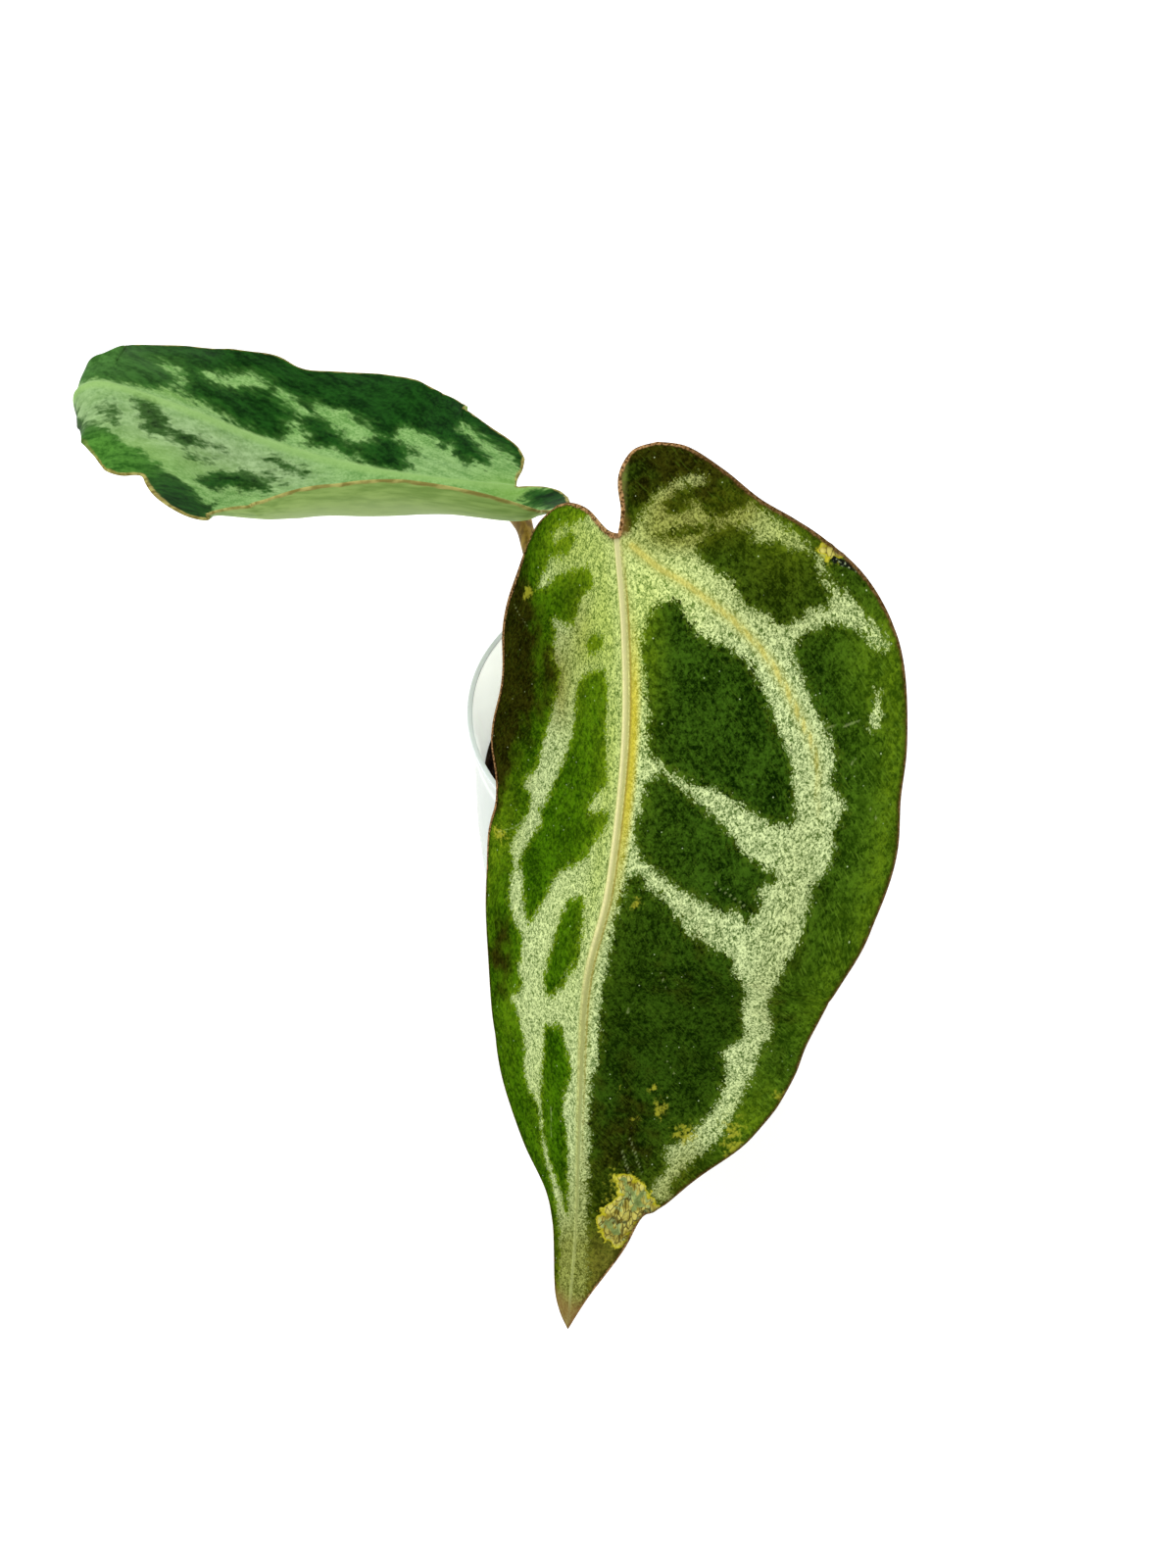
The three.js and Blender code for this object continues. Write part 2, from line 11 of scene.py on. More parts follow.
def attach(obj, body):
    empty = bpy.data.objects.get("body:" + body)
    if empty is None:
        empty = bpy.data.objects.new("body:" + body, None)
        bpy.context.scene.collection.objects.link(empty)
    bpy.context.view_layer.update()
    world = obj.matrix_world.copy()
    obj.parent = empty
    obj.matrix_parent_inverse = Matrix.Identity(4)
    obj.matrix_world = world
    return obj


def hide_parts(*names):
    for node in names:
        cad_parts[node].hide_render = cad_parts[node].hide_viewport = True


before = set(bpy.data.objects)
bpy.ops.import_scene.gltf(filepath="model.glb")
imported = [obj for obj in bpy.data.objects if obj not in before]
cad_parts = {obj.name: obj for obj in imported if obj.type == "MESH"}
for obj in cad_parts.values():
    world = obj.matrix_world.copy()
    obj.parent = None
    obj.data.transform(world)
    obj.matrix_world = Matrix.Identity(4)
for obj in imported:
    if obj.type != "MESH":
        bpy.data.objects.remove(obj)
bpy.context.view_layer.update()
MM = 0.001

# Camera: above the pot's front, looking down, rolled a little
ELEVATION = math.radians(58)
ROLL = math.radians(3)
CAMERA_AT = (-10.58, -284.41, 517.87)
LENS = 38.25
SENSOR = 36.0


def add_object(name, data):
    made = bpy.data.objects.new(name, data)
    bpy.context.scene.collection.objects.link(made)
    return made


def add_camera():
    data = bpy.data.cameras.new("camera")
    data.lens = LENS
    data.sensor_width = SENSOR
    data.clip_start = 0.01
    camera = add_object("camera", data)
    across = Vector((1, 0, 0))
    upward = Vector((0, math.sin(ELEVATION), math.cos(ELEVATION)))
    right = across * math.cos(ROLL) + upward * math.sin(ROLL)
    up = upward * math.cos(ROLL) - across * math.sin(ROLL)
    back = right.cross(up)
    turn = Matrix((right, up, back)).transposed().to_4x4()
    camera.matrix_world = Matrix.Translation(Vector(CAMERA_AT) * MM) @ turn
    bpy.context.scene.camera = camera


add_camera()

# Studio: a white room, one broad light from the upper left and a weak one from the right. Each
# light has a name, a place, a width and a power, and they all point at AIM.
WORLD_LIGHT = 0.95
AIM = (0, 0, 120)
LIGHTS = [
    ("key", (-500, 150, 1200), 1300, 10.0),
    ("fill", (900, -500, 900), 900, 3.0),
]


def add_studio():
    scene = bpy.context.scene
    scene.view_settings.view_transform = "Standard"
    scene.view_settings.look = "None"
    world = bpy.data.worlds.new("studio")
    world.use_nodes = True
    background = world.node_tree.nodes["Background"]
    background.inputs["Color"].default_value = (1, 1, 1, 1)
    background.inputs["Strength"].default_value = WORLD_LIGHT
    scene.world = world
    for name, place, size, power in LIGHTS:
        data = bpy.data.lights.new(name, "AREA")
        data.shape = "DISK"
        data.size = size * MM
        data.energy = power
        light = add_object(name, data)
        light.location = Vector(place) * MM
        aim = Vector(AIM) * MM - light.location
        light.rotation_euler = aim.to_track_quat("-Z", "Y").to_euler()


add_studio()


# Materials

class Shade:
    """One material, built from short calls that each add a node and return its output."""

    def __init__(self, name, **surface):
        self.material = bpy.data.materials.new(name)
        self.material.use_nodes = True
        self.tree = self.material.node_tree
        self.surface = self.tree.nodes["Principled BSDF"]
        for socket, value in surface.items():
            self.surface.inputs[socket.replace("_", " ")].default_value = value

    def feed(self, socket, value):
        if isinstance(value, bpy.types.NodeSocket):
            self.tree.links.new(value, socket)
        elif socket.type == "RGBA" and len(value) == 3:
            socket.default_value = (*value, 1)
        else:
            socket.default_value = value

    def node(self, kind, inputs, output=0, **settings):
        node = self.tree.nodes.new("ShaderNode" + kind)
        for key, value in settings.items():
            setattr(node, key, value)
        for key, value in inputs.items():
            self.feed(node.inputs[key], value)
        return node.outputs[output]

    def value(self, name):
        return self.node("Attribute", {}, "Fac", attribute_name=name)

    def vector(self, name):
        return self.node("Attribute", {}, "Vector", attribute_name=name)

    def place(self):
        return self.node("TexCoord", {}, "Object")

    def math(self, operation, a, b=0.0):
        return self.node("Math", {0: a, 1: b}, operation=operation)

    def add(self, *terms):
        total = terms[0]
        for term in terms[1:]:
            total = self.math("ADD", total, term)
        return total

    def times(self, *terms):
        total = terms[0]
        for term in terms[1:]:
            total = self.math("MULTIPLY", total, term)
        return total

    def step(self, x, low, high, to=(0.0, 1.0)):
        """Smoothly from one value at low to the other at high."""
        inputs = {"Value": x, "From Min": low, "From Max": high, "To Min": to[0], "To Max": to[1]}
        return self.node("MapRange", inputs, interpolation_type="SMOOTHSTEP")

    def mix(self, share, a, b, blend="MIX"):
        """From colour a at share 0 to colour b at share 1."""
        inputs = {0: share, 6: a, 7: b}
        return self.node("Mix", inputs, 2, data_type="RGBA", blend_type=blend)

    def blend(self, noise, a, b):
        """Two colours in soft blotches of a noise."""
        return self.mix(self.step(noise, 0.35, 0.65), a, b)

    def over(self, colour, layer, *masks):
        """A layer of colour on another, where all the masks are high."""
        return self.mix(self.times(*masks), colour, layer)

    def scale(self, colour, factor):
        """A colour made brighter or darker by a number."""
        grey = self.node("CombineColor", {0: factor, 1: factor, 2: factor})
        return self.mix(1.0, colour, grey, "MULTIPLY")

    def stretch(self, vector, by, turn=0.0):
        inputs = {"Vector": vector, "Scale": by, "Rotation": (0, 0, math.radians(turn))}
        return self.node("Mapping", inputs, vector_type="POINT")

    def noise(self, vector, scale, detail=2.0, rough=0.5, bend=0.0):
        inputs = {"Vector": vector, "Scale": scale, "Detail": detail, "Roughness": rough}
        inputs["Distortion"] = bend
        return self.node("TexNoise", inputs, "Fac")

    def cells(self, vector, scale, feature="F1", output="Distance"):
        inputs = {"Vector": vector, "Scale": scale}
        return self.node("TexVoronoi", inputs, output, feature=feature)

    def crumbs(self, vector, scale):
        """A number from 0 to 1 that jumps from grain to grain."""
        return self.node("SeparateColor", {0: self.cells(vector, scale, "F1", "Color")}, 0)

    def wobble(self, vector, scale, amount, detail=2.0):
        """Noise from minus to plus an amount."""
        return self.step(self.noise(vector, scale, detail), 0.25, 0.75, (-amount, amount))

    def bump(self, height, distance, strength=1.0):
        inputs = {"Height": height, "Distance": distance * MM, "Strength": strength}
        normal = self.node("Bump", inputs)
        self.feed(self.surface.inputs["Normal"], normal)

    def finish(self, colour=None, roughness=None):
        if colour is not None:
            self.feed(self.surface.inputs["Base Color"], colour)
        if roughness is not None:
            self.feed(self.surface.inputs["Roughness"], roughness)
        return self.material


# Curves and grids

def hermite(a, b, leave, arrive, t):
    """A curve from a to b that starts and ends along two given directions."""
    t = t[:, None]
    bend = 2 * a - 2 * b + leave + arrive
    turn = -3 * a + 3 * b - 2 * leave - arrive
    return ((bend * t + turn) * t + leave) * t + a


def spline(points, even=False, repeat_ends=False, per_span=60):
    """Dense points on a Catmull-Rom curve, centripetal unless even."""
    p = np.array(points, float)
    before, after = (p[0], p[-1]) if repeat_ends else (2 * p[0] - p[1], 2 * p[-1] - p[-2])
    p = np.vstack([before, p, after])
    t = np.linspace(0, 1, per_span, endpoint=False)
    found = []
    for a, b, c, d in zip(p, p[1:], p[2:], p[3:]):
        if even:
            leave, arrive = (c - a) / 2, (d - b) / 2
        else:
            spans = ((a, b), (b, c), (c, d))
            s0, s1, s2 = (max(np.linalg.norm(y - x) ** 0.5, 1e-4) for x, y in spans)
            leave = s1 * ((b - a) / s0 - (c - a) / (s0 + s1) + (c - b) / s1)
            arrive = s1 * ((c - b) / s1 - (d - b) / (s1 + s2) + (d - c) / s2)
        found.append(hermite(b, c, leave, arrive, t))
    return np.vstack([*found, p[-2:-1]])


class Path:
    """A curve read by distance along it."""

    def __init__(self, points, **kind):
        self.points = spline(points, **kind)
        steps = np.linalg.norm(np.diff(self.points, axis=0), axis=1)
        self.along = np.concatenate([[0], np.cumsum(steps)])
        self.length = self.along[-1]
        slope = np.gradient(self.points, axis=0)
        self.slopes = slope / np.linalg.norm(slope, axis=1)[:, None]

    def read(self, rows, distance):
        return np.stack([np.interp(distance, self.along, column) for column in rows.T], -1)

    def at(self, distance):
        return self.read(self.points, distance)

    def tangent(self, distance):
        found = self.read(self.slopes, distance)
        return found / np.linalg.norm(found, axis=-1, keepdims=True)


def smooth(x, low, high):
    """Smoothly from 0 at low to 1 at high."""
    t = np.clip((x - low) / (high - low), 0, 1)
    return t * t * (3 - 2 * t)


def swell(distance, height, width):
    """A rounded ridge, by the distance from its crest."""
    return height * np.exp(-(distance / width) ** 2)


def unit(v):
    return v / np.maximum(np.linalg.norm(v, axis=-1, keepdims=True), 1e-12)


def wavy_sum(x, y, seed, waves, shortest, longest):
    """Smooth lumps from -1 to 1 or so, the same each run."""
    random = np.random.default_rng(seed)
    total = np.zeros(np.broadcast(x, y).shape)
    for _ in range(waves):
        length = random.uniform(shortest, longest)
        bearing, phase = random.uniform(0, 2 * math.pi, 2)
        k = 2 * math.pi / length
        total += np.cos(k * (x * math.cos(bearing) + y * math.sin(bearing)) + phase)
    return total / math.sqrt(waves)


def grid_normals(points):
    """Unit normals of a grid of points, pointing to the side that rows cross columns give."""
    down = np.gradient(points, axis=0)
    across = np.gradient(points, axis=1)
    return unit(np.cross(down, across))


def add_piece(name, corners, faces, material, replaces, attributes=None, smooth_shade=True):
    """A mesh piece in metres from corners in mm, riding on the object's one body."""
    mesh = bpy.data.meshes.new(name)
    mesh.from_pydata((np.asarray(corners) * MM).tolist(), [], faces)
    mesh.materials.append(material)
    for key, values in (attributes or {}).items():
        values = np.asarray(values, np.float32)
        kind, field = ("FLOAT", "value") if values.ndim == 1 else ("FLOAT_VECTOR", "vector")
        mesh.attributes.new(key, kind, "POINT").data.foreach_set(field, values.ravel())
    mesh.validate()
    if smooth_shade:
        mesh.shade_smooth()
    piece = add_object(name, mesh)
    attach(piece, "root")
    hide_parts(*replaces)
    return piece


def closed_body(rings, first, last):
    """Corners and faces of closed rings of corners, with a fan to a point at each end."""
    count, sides = rings.shape[:2]
    faces = []
    for i in range(count - 1):
        for j in range(sides):
            a, b = i * sides + j, i * sides + (j + 1) % sides
            faces.append((a, b, b + sides, a + sides))
    tip = count * sides
    for j in range(sides):
        k = (j + 1) % sides
        faces.append((tip, k, j))
        faces.append((tip + 1, tip - sides + j, tip - sides + k))
    return np.vstack([rings.reshape(-1, 3), [first, last]]), faces


def sheet_faces(index, count, flip=False):
    """Faces of a sheet with two sides and a closed border, on a grid of corner numbers. The
    corners of the second side are numbered higher by count."""
    faces = []
    for i in range(index.shape[0] - 1):
        for j in range(index.shape[1] - 1):
            corners = index[i, j], index[i, j + 1], index[i + 1, j + 1], index[i + 1, j]
            quad = list(dict.fromkeys(int(v) for v in corners))
            if flip:
                quad = quad[:1] + quad[:0:-1]
            faces.append(quad)
            faces.append([v + count for v in reversed(quad)])
    border = [int(v) for v in (*index[0, ::-1], *index[1:, 0], *index[-1, 1:], *index[-2::-1, -1])]
    if flip:
        border.reverse()
    faces.extend([a, b, b + count, a + count] for a, b in zip(border, border[1:]) if a != b)
    return faces


def tube(path, radius, sides, steps):
    """Corners, faces and fields of a round body along a path. radius takes a column of shares
    of the way and a row of angles, and gives the radius at each."""
    distance = path.length * np.linspace(0, 1, steps + 1)
    centre, forward = path.at(distance), path.tangent(distance)
    aside = np.cross(forward[0], (0.3, 0.9, 0.2))
    sideways = []
    for t in forward:
        aside = aside - t * aside.dot(t)
        aside /= np.linalg.norm(aside)
        sideways.append(aside)
    sideways = np.array(sideways)
    upright = np.cross(forward, sideways)
    angle = np.linspace(0, 2 * math.pi, sides, endpoint=False)
    r = radius((distance / path.length)[:, None], angle[None, :]) * np.ones((steps + 1, sides))
    spokes = (sideways[:, None] * np.cos(angle)[None, :, None]
              + upright[:, None] * np.sin(angle)[None, :, None])
    corners, faces = closed_body(centre[:, None] + r[..., None] * spokes, centre[0], centre[-1])
    climb = np.broadcast_to(distance[:, None], r.shape).ravel()
    return corners, faces, {"climb": np.append(climb, [climb[0], climb[-1]])}


def line_distance(x, y, line, closed=False):
    """How far points are from a line of [x, y] corners."""
    line = np.asarray(line, float)
    ends = np.roll(line, -1, axis=0) if closed else line[1:]
    nearest = np.full(x.shape, 1e9)
    for (ax, ay), (bx, by) in zip(line, ends):
        dx, dy = bx - ax, by - ay
        t = np.clip(((x - ax) * dx + (y - ay) * dy) / max(dx * dx + dy * dy, 1e-9), 0, 1)
        nearest = np.minimum(nearest, (x - ax - t * dx) ** 2 + (y - ay - t * dy) ** 2)
    return np.sqrt(nearest)


def round_loop(outline, per_span=4):
    """A closed outline, rounded through its points."""
    p = np.array(outline, float)
    t = np.linspace(0, 1, per_span, endpoint=False)
    n = len(p)
    spans = []
    for i in range(n):
        a, b, c, d = p[i - 1], p[i], p[(i + 1) % n], p[(i + 2) % n]
        spans.append(hermite(b, c, (c - a) / 2, (d - b) / 2, t))
    return np.vstack(spans)


def inside_depth(x, y, outline):
    """How deep points lie inside a rounded closed outline, negative outside it."""
    loop = round_loop(outline)
    inside = np.zeros(x.shape, bool)
    for (ax, ay), (bx, by) in zip(loop, np.roll(loop, -1, axis=0)):
        crosses = (ay > y) != (by > y)
        if ay != by:
            inside ^= crosses & (x < (bx - ax) * (y - ay) / (by - ay) + ax)
    return np.where(inside, 1, -1) * line_distance(x, y, loop, closed=True)


def patches(x, y, rows):
    """Sum of soft round patches, each (x, y, reach along x, reach along y, strength)."""
    total = np.zeros(x.shape)
    for px, py, rx, ry, strength in rows:
        total += strength * np.exp(-((x - px) / rx) ** 2 - ((y - py) / ry) ** 2)
    return np.clip(total, 0, 1)


# Leaves. The stalk and midrib are points in space, and the sheath is its start and length up the
# stalk. sideways holds [share of the midrib, direction of the plus half]. For each half, curl
# holds [share, degrees of rise, degrees of bend per cm out], lobe the same for the lobe behind the
# stalk, and sinus and margin are its outline laid flat, as [along the midrib, out from it]. wave
# is the height and length of the margin's waves and of the swellings between the side veins.
# Markings are closed outlines laid flat in the same way, for the plus half and the minus half.

FRONT_LEAF = {
    "stalk": [(0.5, 0, 86), (0.3, -8.5, 95), (-0.5, -13.5, 112), (-3, -20, 150), (-6, -21.5, 185)],
    "sheath": (10, 34),
    "midrib": [
        (-6.5, -19.1, 208), (-3.3, -39.4, 194), (-1.9, -60.6, 176.5), (-3.8, -85.7, 151.5),
        (-8.2, -102.9, 131), (-8.2, -125.2, 103.5), (-7.5, -147.4, 74.5), (-8.2, -168.1, 47)],
    "sideways": [(0, 0.891, -0.24, 0.385), (1, 0.891, -0.24, 0.385)],
    1: {
        "curl": [(0, -27, -1), (1, -27, -1)],
        "lobe": (0, 12),
        "sinus": [(0, 0), (-6, 1), (-14, 0.2), (-21, 3), (-23, 9)],
        "margin": [
            (-23, 9), (-21, 16.5), (-14, 26), (-6, 35), (0, 44), (6, 51), (13, 58), (20, 63),
            (27, 66.5), (37, 69), (49, 70), (60, 69.5), (71, 70.6), (80, 70), (90, 67.6), (99, 64),
            (108, 62.6), (116, 62.5), (124, 61), (133, 58.2), (141, 56), (149, 52.5), (156, 48.5),
            (163, 43), (173, 31), (181, 22.7), (184.5, 17.5), (195, 13), (210, 5), (221.4, 0)],
    },
    -1: {
        "curl": [(0, -30, 0), (1, -30, 0)],
        "lobe": (0, 26),
        "sinus": [(0, 0), (-2, 5), (-8.5, 14), (-11.5, 22), (-12, 29)],
        "margin": [
            (-12, 29), (-8, 38), (0, 46), (8, 53.7), (15, 57.4), (23, 59.5), (34, 61), (47, 63),
            (58, 64.3), (66, 64.2), (75, 61.5), (83, 59.7), (92, 60), (100, 59), (108, 55.2),
            (116, 52.4), (124, 49.7), (132, 47.6), (140, 45.5), (148, 44), (155, 42.7), (162, 39.2),
            (170, 33.8), (176, 27), (182, 20), (187, 14), (193, 11.2), (201, 10), (209, 8.5),
            (215, 7), (219, 4), (221.4, 0)],
    },
    "wave": (0.8, 41, 0.35, 23),
}
BACK_LEAF = {
    "stalk": [(-1, 1.5, 86), (-8.5, 6.5, 96), (-17, 12, 114), (-29, 21.5, 145), (-33.5, 29, 156)],
    "sheath": (10, 30),
    "midrib": [
        (-35.1, 34.3, 162.7), (-50.6, 32.1, 166.3), (-68.9, 33.7, 166.4), (-88.5, 38.7, 165.1),
        (-107.9, 43.4, 166.9), (-125.6, 45.5, 173.7), (-141.4, 47.4, 178.9), (-151.2, 47.6, 181.7),
        (-158.2, 47.4, 178.4), (-160.3, 47.8, 170), (-159.2, 49, 160), (-157, 50, 152)],
    "sideways": [
        (0, -0.23, -0.96, 0.17), (0.5, -0.05, -0.99, 0.16), (0.75, 0.12, -0.96, 0.22),
        (1, 0.2, -0.96, -0.15)],
    1: {
        "curl": [
            (0, 10, 12.9), (0.15, 1.5, 13.1), (0.3, -7, 11.8), (0.45, -8.5, 9), (0.6, -4, 5.8),
            (0.75, -9, 2.6), (1, -20, -2)],
        "lobe": (-24, -4),
        "sinus": [(0, 0), (-4, 0.8), (-8, 2.5), (-11.5, 7), (-12.5, 13.5)],
        "margin": [
            (-12.5, 13.5), (-11, 21.5), (-5, 30), (3, 39.5), (14, 51), (25, 57), (35, 58.8),
            (45, 58.8), (57, 60.5), (66, 58.5), (75, 56.5), (82, 57.8), (88, 59.3), (92.5, 55.5),
            (95, 49.5), (98, 41), (100, 37), (104, 39.5), (108, 38.8), (113, 35), (117.5, 30),
            (120.5, 24.5), (123.5, 18.5), (128, 13), (138, 8), (156.3, 0)],
    },
    -1: {
        "curl": [
            (0, -11, 0), (0.15, -9, 0), (0.3, -2.5, 0), (0.6, -3.5, 0), (0.75, -9, 0),
            (1, -17.5, 0)],
        "lobe": (0, 15.5),
        "sinus": [(0, 0), (-1, 5), (-3.5, 11.5), (-5, 17.5)],
        "margin": [
            (-5, 17.5), (-3.5, 24), (1.5, 31.5), (7, 39), (14, 44.5), (24, 47.8), (33, 48.2),
            (43, 46.4), (52, 47.2), (60, 47.3), (68, 43.8), (74.5, 40.3), (80, 42.3), (87, 39.5),
            (96, 38.6), (107.5, 35.8), (115, 32), (120, 27.3), (124.5, 21.5), (129.5, 16),
            (137, 10.5), (146, 5.5), (156.3, 0)],
    },
    "wave": (0.6, 34, 0.3, 21),
}

# Green islands between the silver veins, and silver cut back out of them
FRONT_MARKS = {
    "green": {
        1: [
            [(18, 7), (17, 13), (20, 15), (25, 18), (27, 22), (31, 29), (36, 32), (41, 35),
             (46, 37), (52, 41), (58, 42), (64, 43), (67, 44), (68, 41), (68, 38), (66, 34),
             (63, 27), (61, 25), (60, 20), (59, 15), (57, 11), (55, 8), (51, 5), (43, 5),
             (34, 4), (25, 4)],
            [(59, 6), (58, 10), (62, 16), (66, 22), (70, 27), (75, 32), (78, 38), (80, 42),
             (82, 39), (84, 37), (86, 39), (89, 37), (91, 37), (89, 32), (90, 30), (88, 23),
             (86, 17), (83, 12), (80, 8), (77, 5), (72, 4), (66, 5)],
            [(84, 4), (83, 7), (86, 9), (88, 13), (92, 18), (95, 22), (97, 30), (99, 35), (102, 36),
             (108, 40), (115, 41), (121, 41), (126, 42), (130, 41), (133, 37), (139, 38), (144, 37),
             (151, 35), (156, 31), (160, 28), (163, 23), (168, 24), (173, 21), (175, 20), (178, 21),
             (183, 27), (202, 15), (216, 5), (203, 4), (184, 3), (156, 2.4), (142, 2.4), (135, 4),
             (120, 4), (108, 4), (99, 3), (91, 3)],
            [(6, 18), (3, 20), (1, 23), (0, 28), (2, 34), (4, 32), (5, 35), (5, 39), (7, 42),
             (9, 47), (13, 48), (18, 50), (20, 50), (22, 43), (24, 39), (21, 33), (18, 28),
             (14, 27), (12, 24), (8, 19)],
            [(28, 41), (25, 44), (24, 51), (25, 57), (29, 60), (30, 64), (27, 63), (23, 59),
             (18, 54), (15, 50), (11, 49), (8, 52), (9, 59), (25, 78), (78, 83), (136, 69),
             (163, 52), (179, 29), (174, 25), (168, 29), (161, 36), (155, 39), (147, 42),
             (138, 45), (130, 47), (127, 49), (115, 47), (105, 47), (97, 48), (92, 50), (84, 50),
             (81, 50), (78, 53), (73, 54), (69, 53), (64, 55), (60, 54), (57, 51), (52, 52),
             (48, 50), (43, 47), (38, 44), (34, 42), (31, 40)],
            [(-6, 17), (-6, 20), (-3, 25), (-4, 30), (-5, 34), (-7, 42), (-25, 35), (-36, 5),
             (-22, -3), (-4, -1), (-1, 3), (-4, 6), (-7, 9), (-10, 11), (-8, 15)],
            [(2, 9), (0, 12), (-1, 17), (-1, 23), (1, 22), (2, 17)],
            [(-8, 11), (-10, 13), (-10, 18), (-6, 18), (-4, 16), (-4, 12)],
            [(-9, 20), (-9, 25), (-7, 30), (-4, 31), (-2, 26), (-4, 21)],
            [(-5, 33), (-2, 36.5), (3, 42), (7, 46), (9, 48.5), (8, 56), (-4, 52), (-16, 38)],
        ],
        -1: [
            [(34, 17), (33, 14), (33, 9), (38, 8), (47, 8), (58, 7), (63, 6), (65, 9), (71, 13),
             (71, 10), (69, 5), (72, 4), (75, 6), (79, 9), (83, 11), (87, 15), (90, 19), (95, 23),
             (104, 25), (110, 28), (111, 31), (107, 35), (103, 38), (101, 41), (94, 40), (87, 38),
             (81, 35), (78, 37), (75, 34), (71, 32), (61, 27), (53, 24), (42, 23), (37, 21)],
            [(98, 15), (95, 10), (97, 8), (104, 6), (111, 5), (116, 8), (120, 10), (125, 15),
             (123, 19), (114, 18), (108, 17), (102, 16)],
            [(136, 18), (133, 15), (131, 9), (134, 8), (141, 4), (146, 5), (151, 7), (156, 7),
             (163, 5), (174, 4), (186, 4), (182, 7), (175, 13), (169, 16), (158, 19), (146, 18)],
            [(35, 30), (46, 33), (57, 37), (66, 39), (72, 45), (74, 42), (78, 41), (84, 43),
             (91, 46), (98, 46), (102, 43), (110, 41), (114, 34), (116, 31), (125, 32),
             (128, 29), (134, 35), (135, 32), (143, 28), (155, 26), (161, 20), (173, 16),
             (180, 13), (189, 8), (204, 6), (214, 6), (223, 10), (217, 21), (189, 29), (138, 58),
             (82, 74), (27, 67), (6, 59), (-4, 48), (-14, 42), (-20, 30), (-18, 16), (-10, 11),
             (-7, 11), (-6, 15), (-4, 21), (-1, 18), (0, 20), (2, 24), (2, 30), (4, 33), (6, 36),
             (8, 38), (8, 34), (6, 29), (6, 22), (6, 14), (9, 12), (12, 13), (13, 17), (16, 20),
             (20, 22), (20, 27), (18, 32), (22, 31), (30, 33)],
            [(24, 16), (24, 12), (25, 9), (28, 11), (29, 15), (27, 17)],
        ],
    },
    "silver": {
        1: [[(38, 62), (42, 63), (46, 62), (45, 60), (42, 60.5)],
            [(-8, 9), (-6, 11), (-9, 14), (-11, 21), (-13, 20), (-11, 13)],
            [(-1, 27), (-2, 31), (0, 35), (4, 39.5), (8, 45), (7, 46.5), (3, 42.5), (-2, 37),
             (-4, 33), (-3, 28)]],
        -1: [[(-4, 29), (-5, 25), (-5, 20), (-3.5, 20), (-3, 24), (-2, 28)]],
    },
}
BACK_MARKS = {
    "green": {
        1: [
            [(135, 0), (126, 9), (119, 17), (108, 22), (99, 28), (93, 33), (90, 34), (87, 38),
             (84, 42), (80, 39), (85, 64), (115, 56), (150, 34), (153, 0)],
            [(88, 29), (86, 23), (81, 18), (77, 15), (73, 14), (69, 15), (65, 17), (65, 21),
             (70, 23), (76, 25), (82, 30), (86, 31)],
            [(111, 2), (108, 2), (104, 3), (101, 6), (98, 10), (93, 9), (84, 9), (88, 11), (91, 13),
             (93, 18), (97, 14), (104, 14), (106, 11), (109, 7)],
            [(93, 18), (90, 17), (85, 15), (87, 18), (91, 19)],
            [(71, 5), (64, 5), (59, 6), (60, 9), (64, 9), (68, 8)],
            [(70, 13), (67, 12), (62, 14), (63, 15), (68, 15)],
            [(118, 6), (115, 7), (113, 13), (113, 16), (115, 17), (118, 12)],
            [(-1, 6), (-4, 3), (-8, 3), (-20, 8), (-16, 24), (-7, 22), (-4, 19), (-2, 13)],
        ],
        -1: [
            [(102, 16), (100, 9), (96, 6), (91, 6), (84, 3), (77, 2), (73, 2), (69, 5), (70, 12),
             (66, 9), (64, 4), (55, 5), (47, 3), (40, 1), (32, 2), (32, 6), (34, 11), (30, 10),
             (34, 15), (39, 18), (42, 19), (41, 22), (33, 22), (27, 21), (24, 17), (22, 21),
             (21, 17), (18, 13), (13, 11), (10, 11), (7, 9), (6, 13), (7, 17), (9, 23), (13, 27),
             (20, 32), (17, 34), (8, 28), (5, 23), (2, 21), (-2, 13), (-3, 10), (-12, 18),
             (-12, 30), (1, 46), (48, 62), (76, 58), (105, 50), (135, 33), (160, 22), (150, 6),
             (138, 3), (126, 2), (114, 3), (104, 7), (102, 11), (104, 17), (110, 22), (108, 24),
             (105, 22)],
        ],
    },
    "silver": {
        1: [],
        -1: [[(97, 22), (94, 23), (90, 23), (87, 27), (84, 29), (81, 27), (80, 24), (85, 21),
              (89, 18), (92, 18), (95, 20)],
             [(77, 25), (75, 25), (71, 21), (68, 18), (69, 16), (74, 20)],
             [(68, 24), (63, 23), (59, 23), (55, 21), (48, 17), (47, 15), (52, 11), (57, 15),
              (61, 16), (66, 20)]],
    },
}

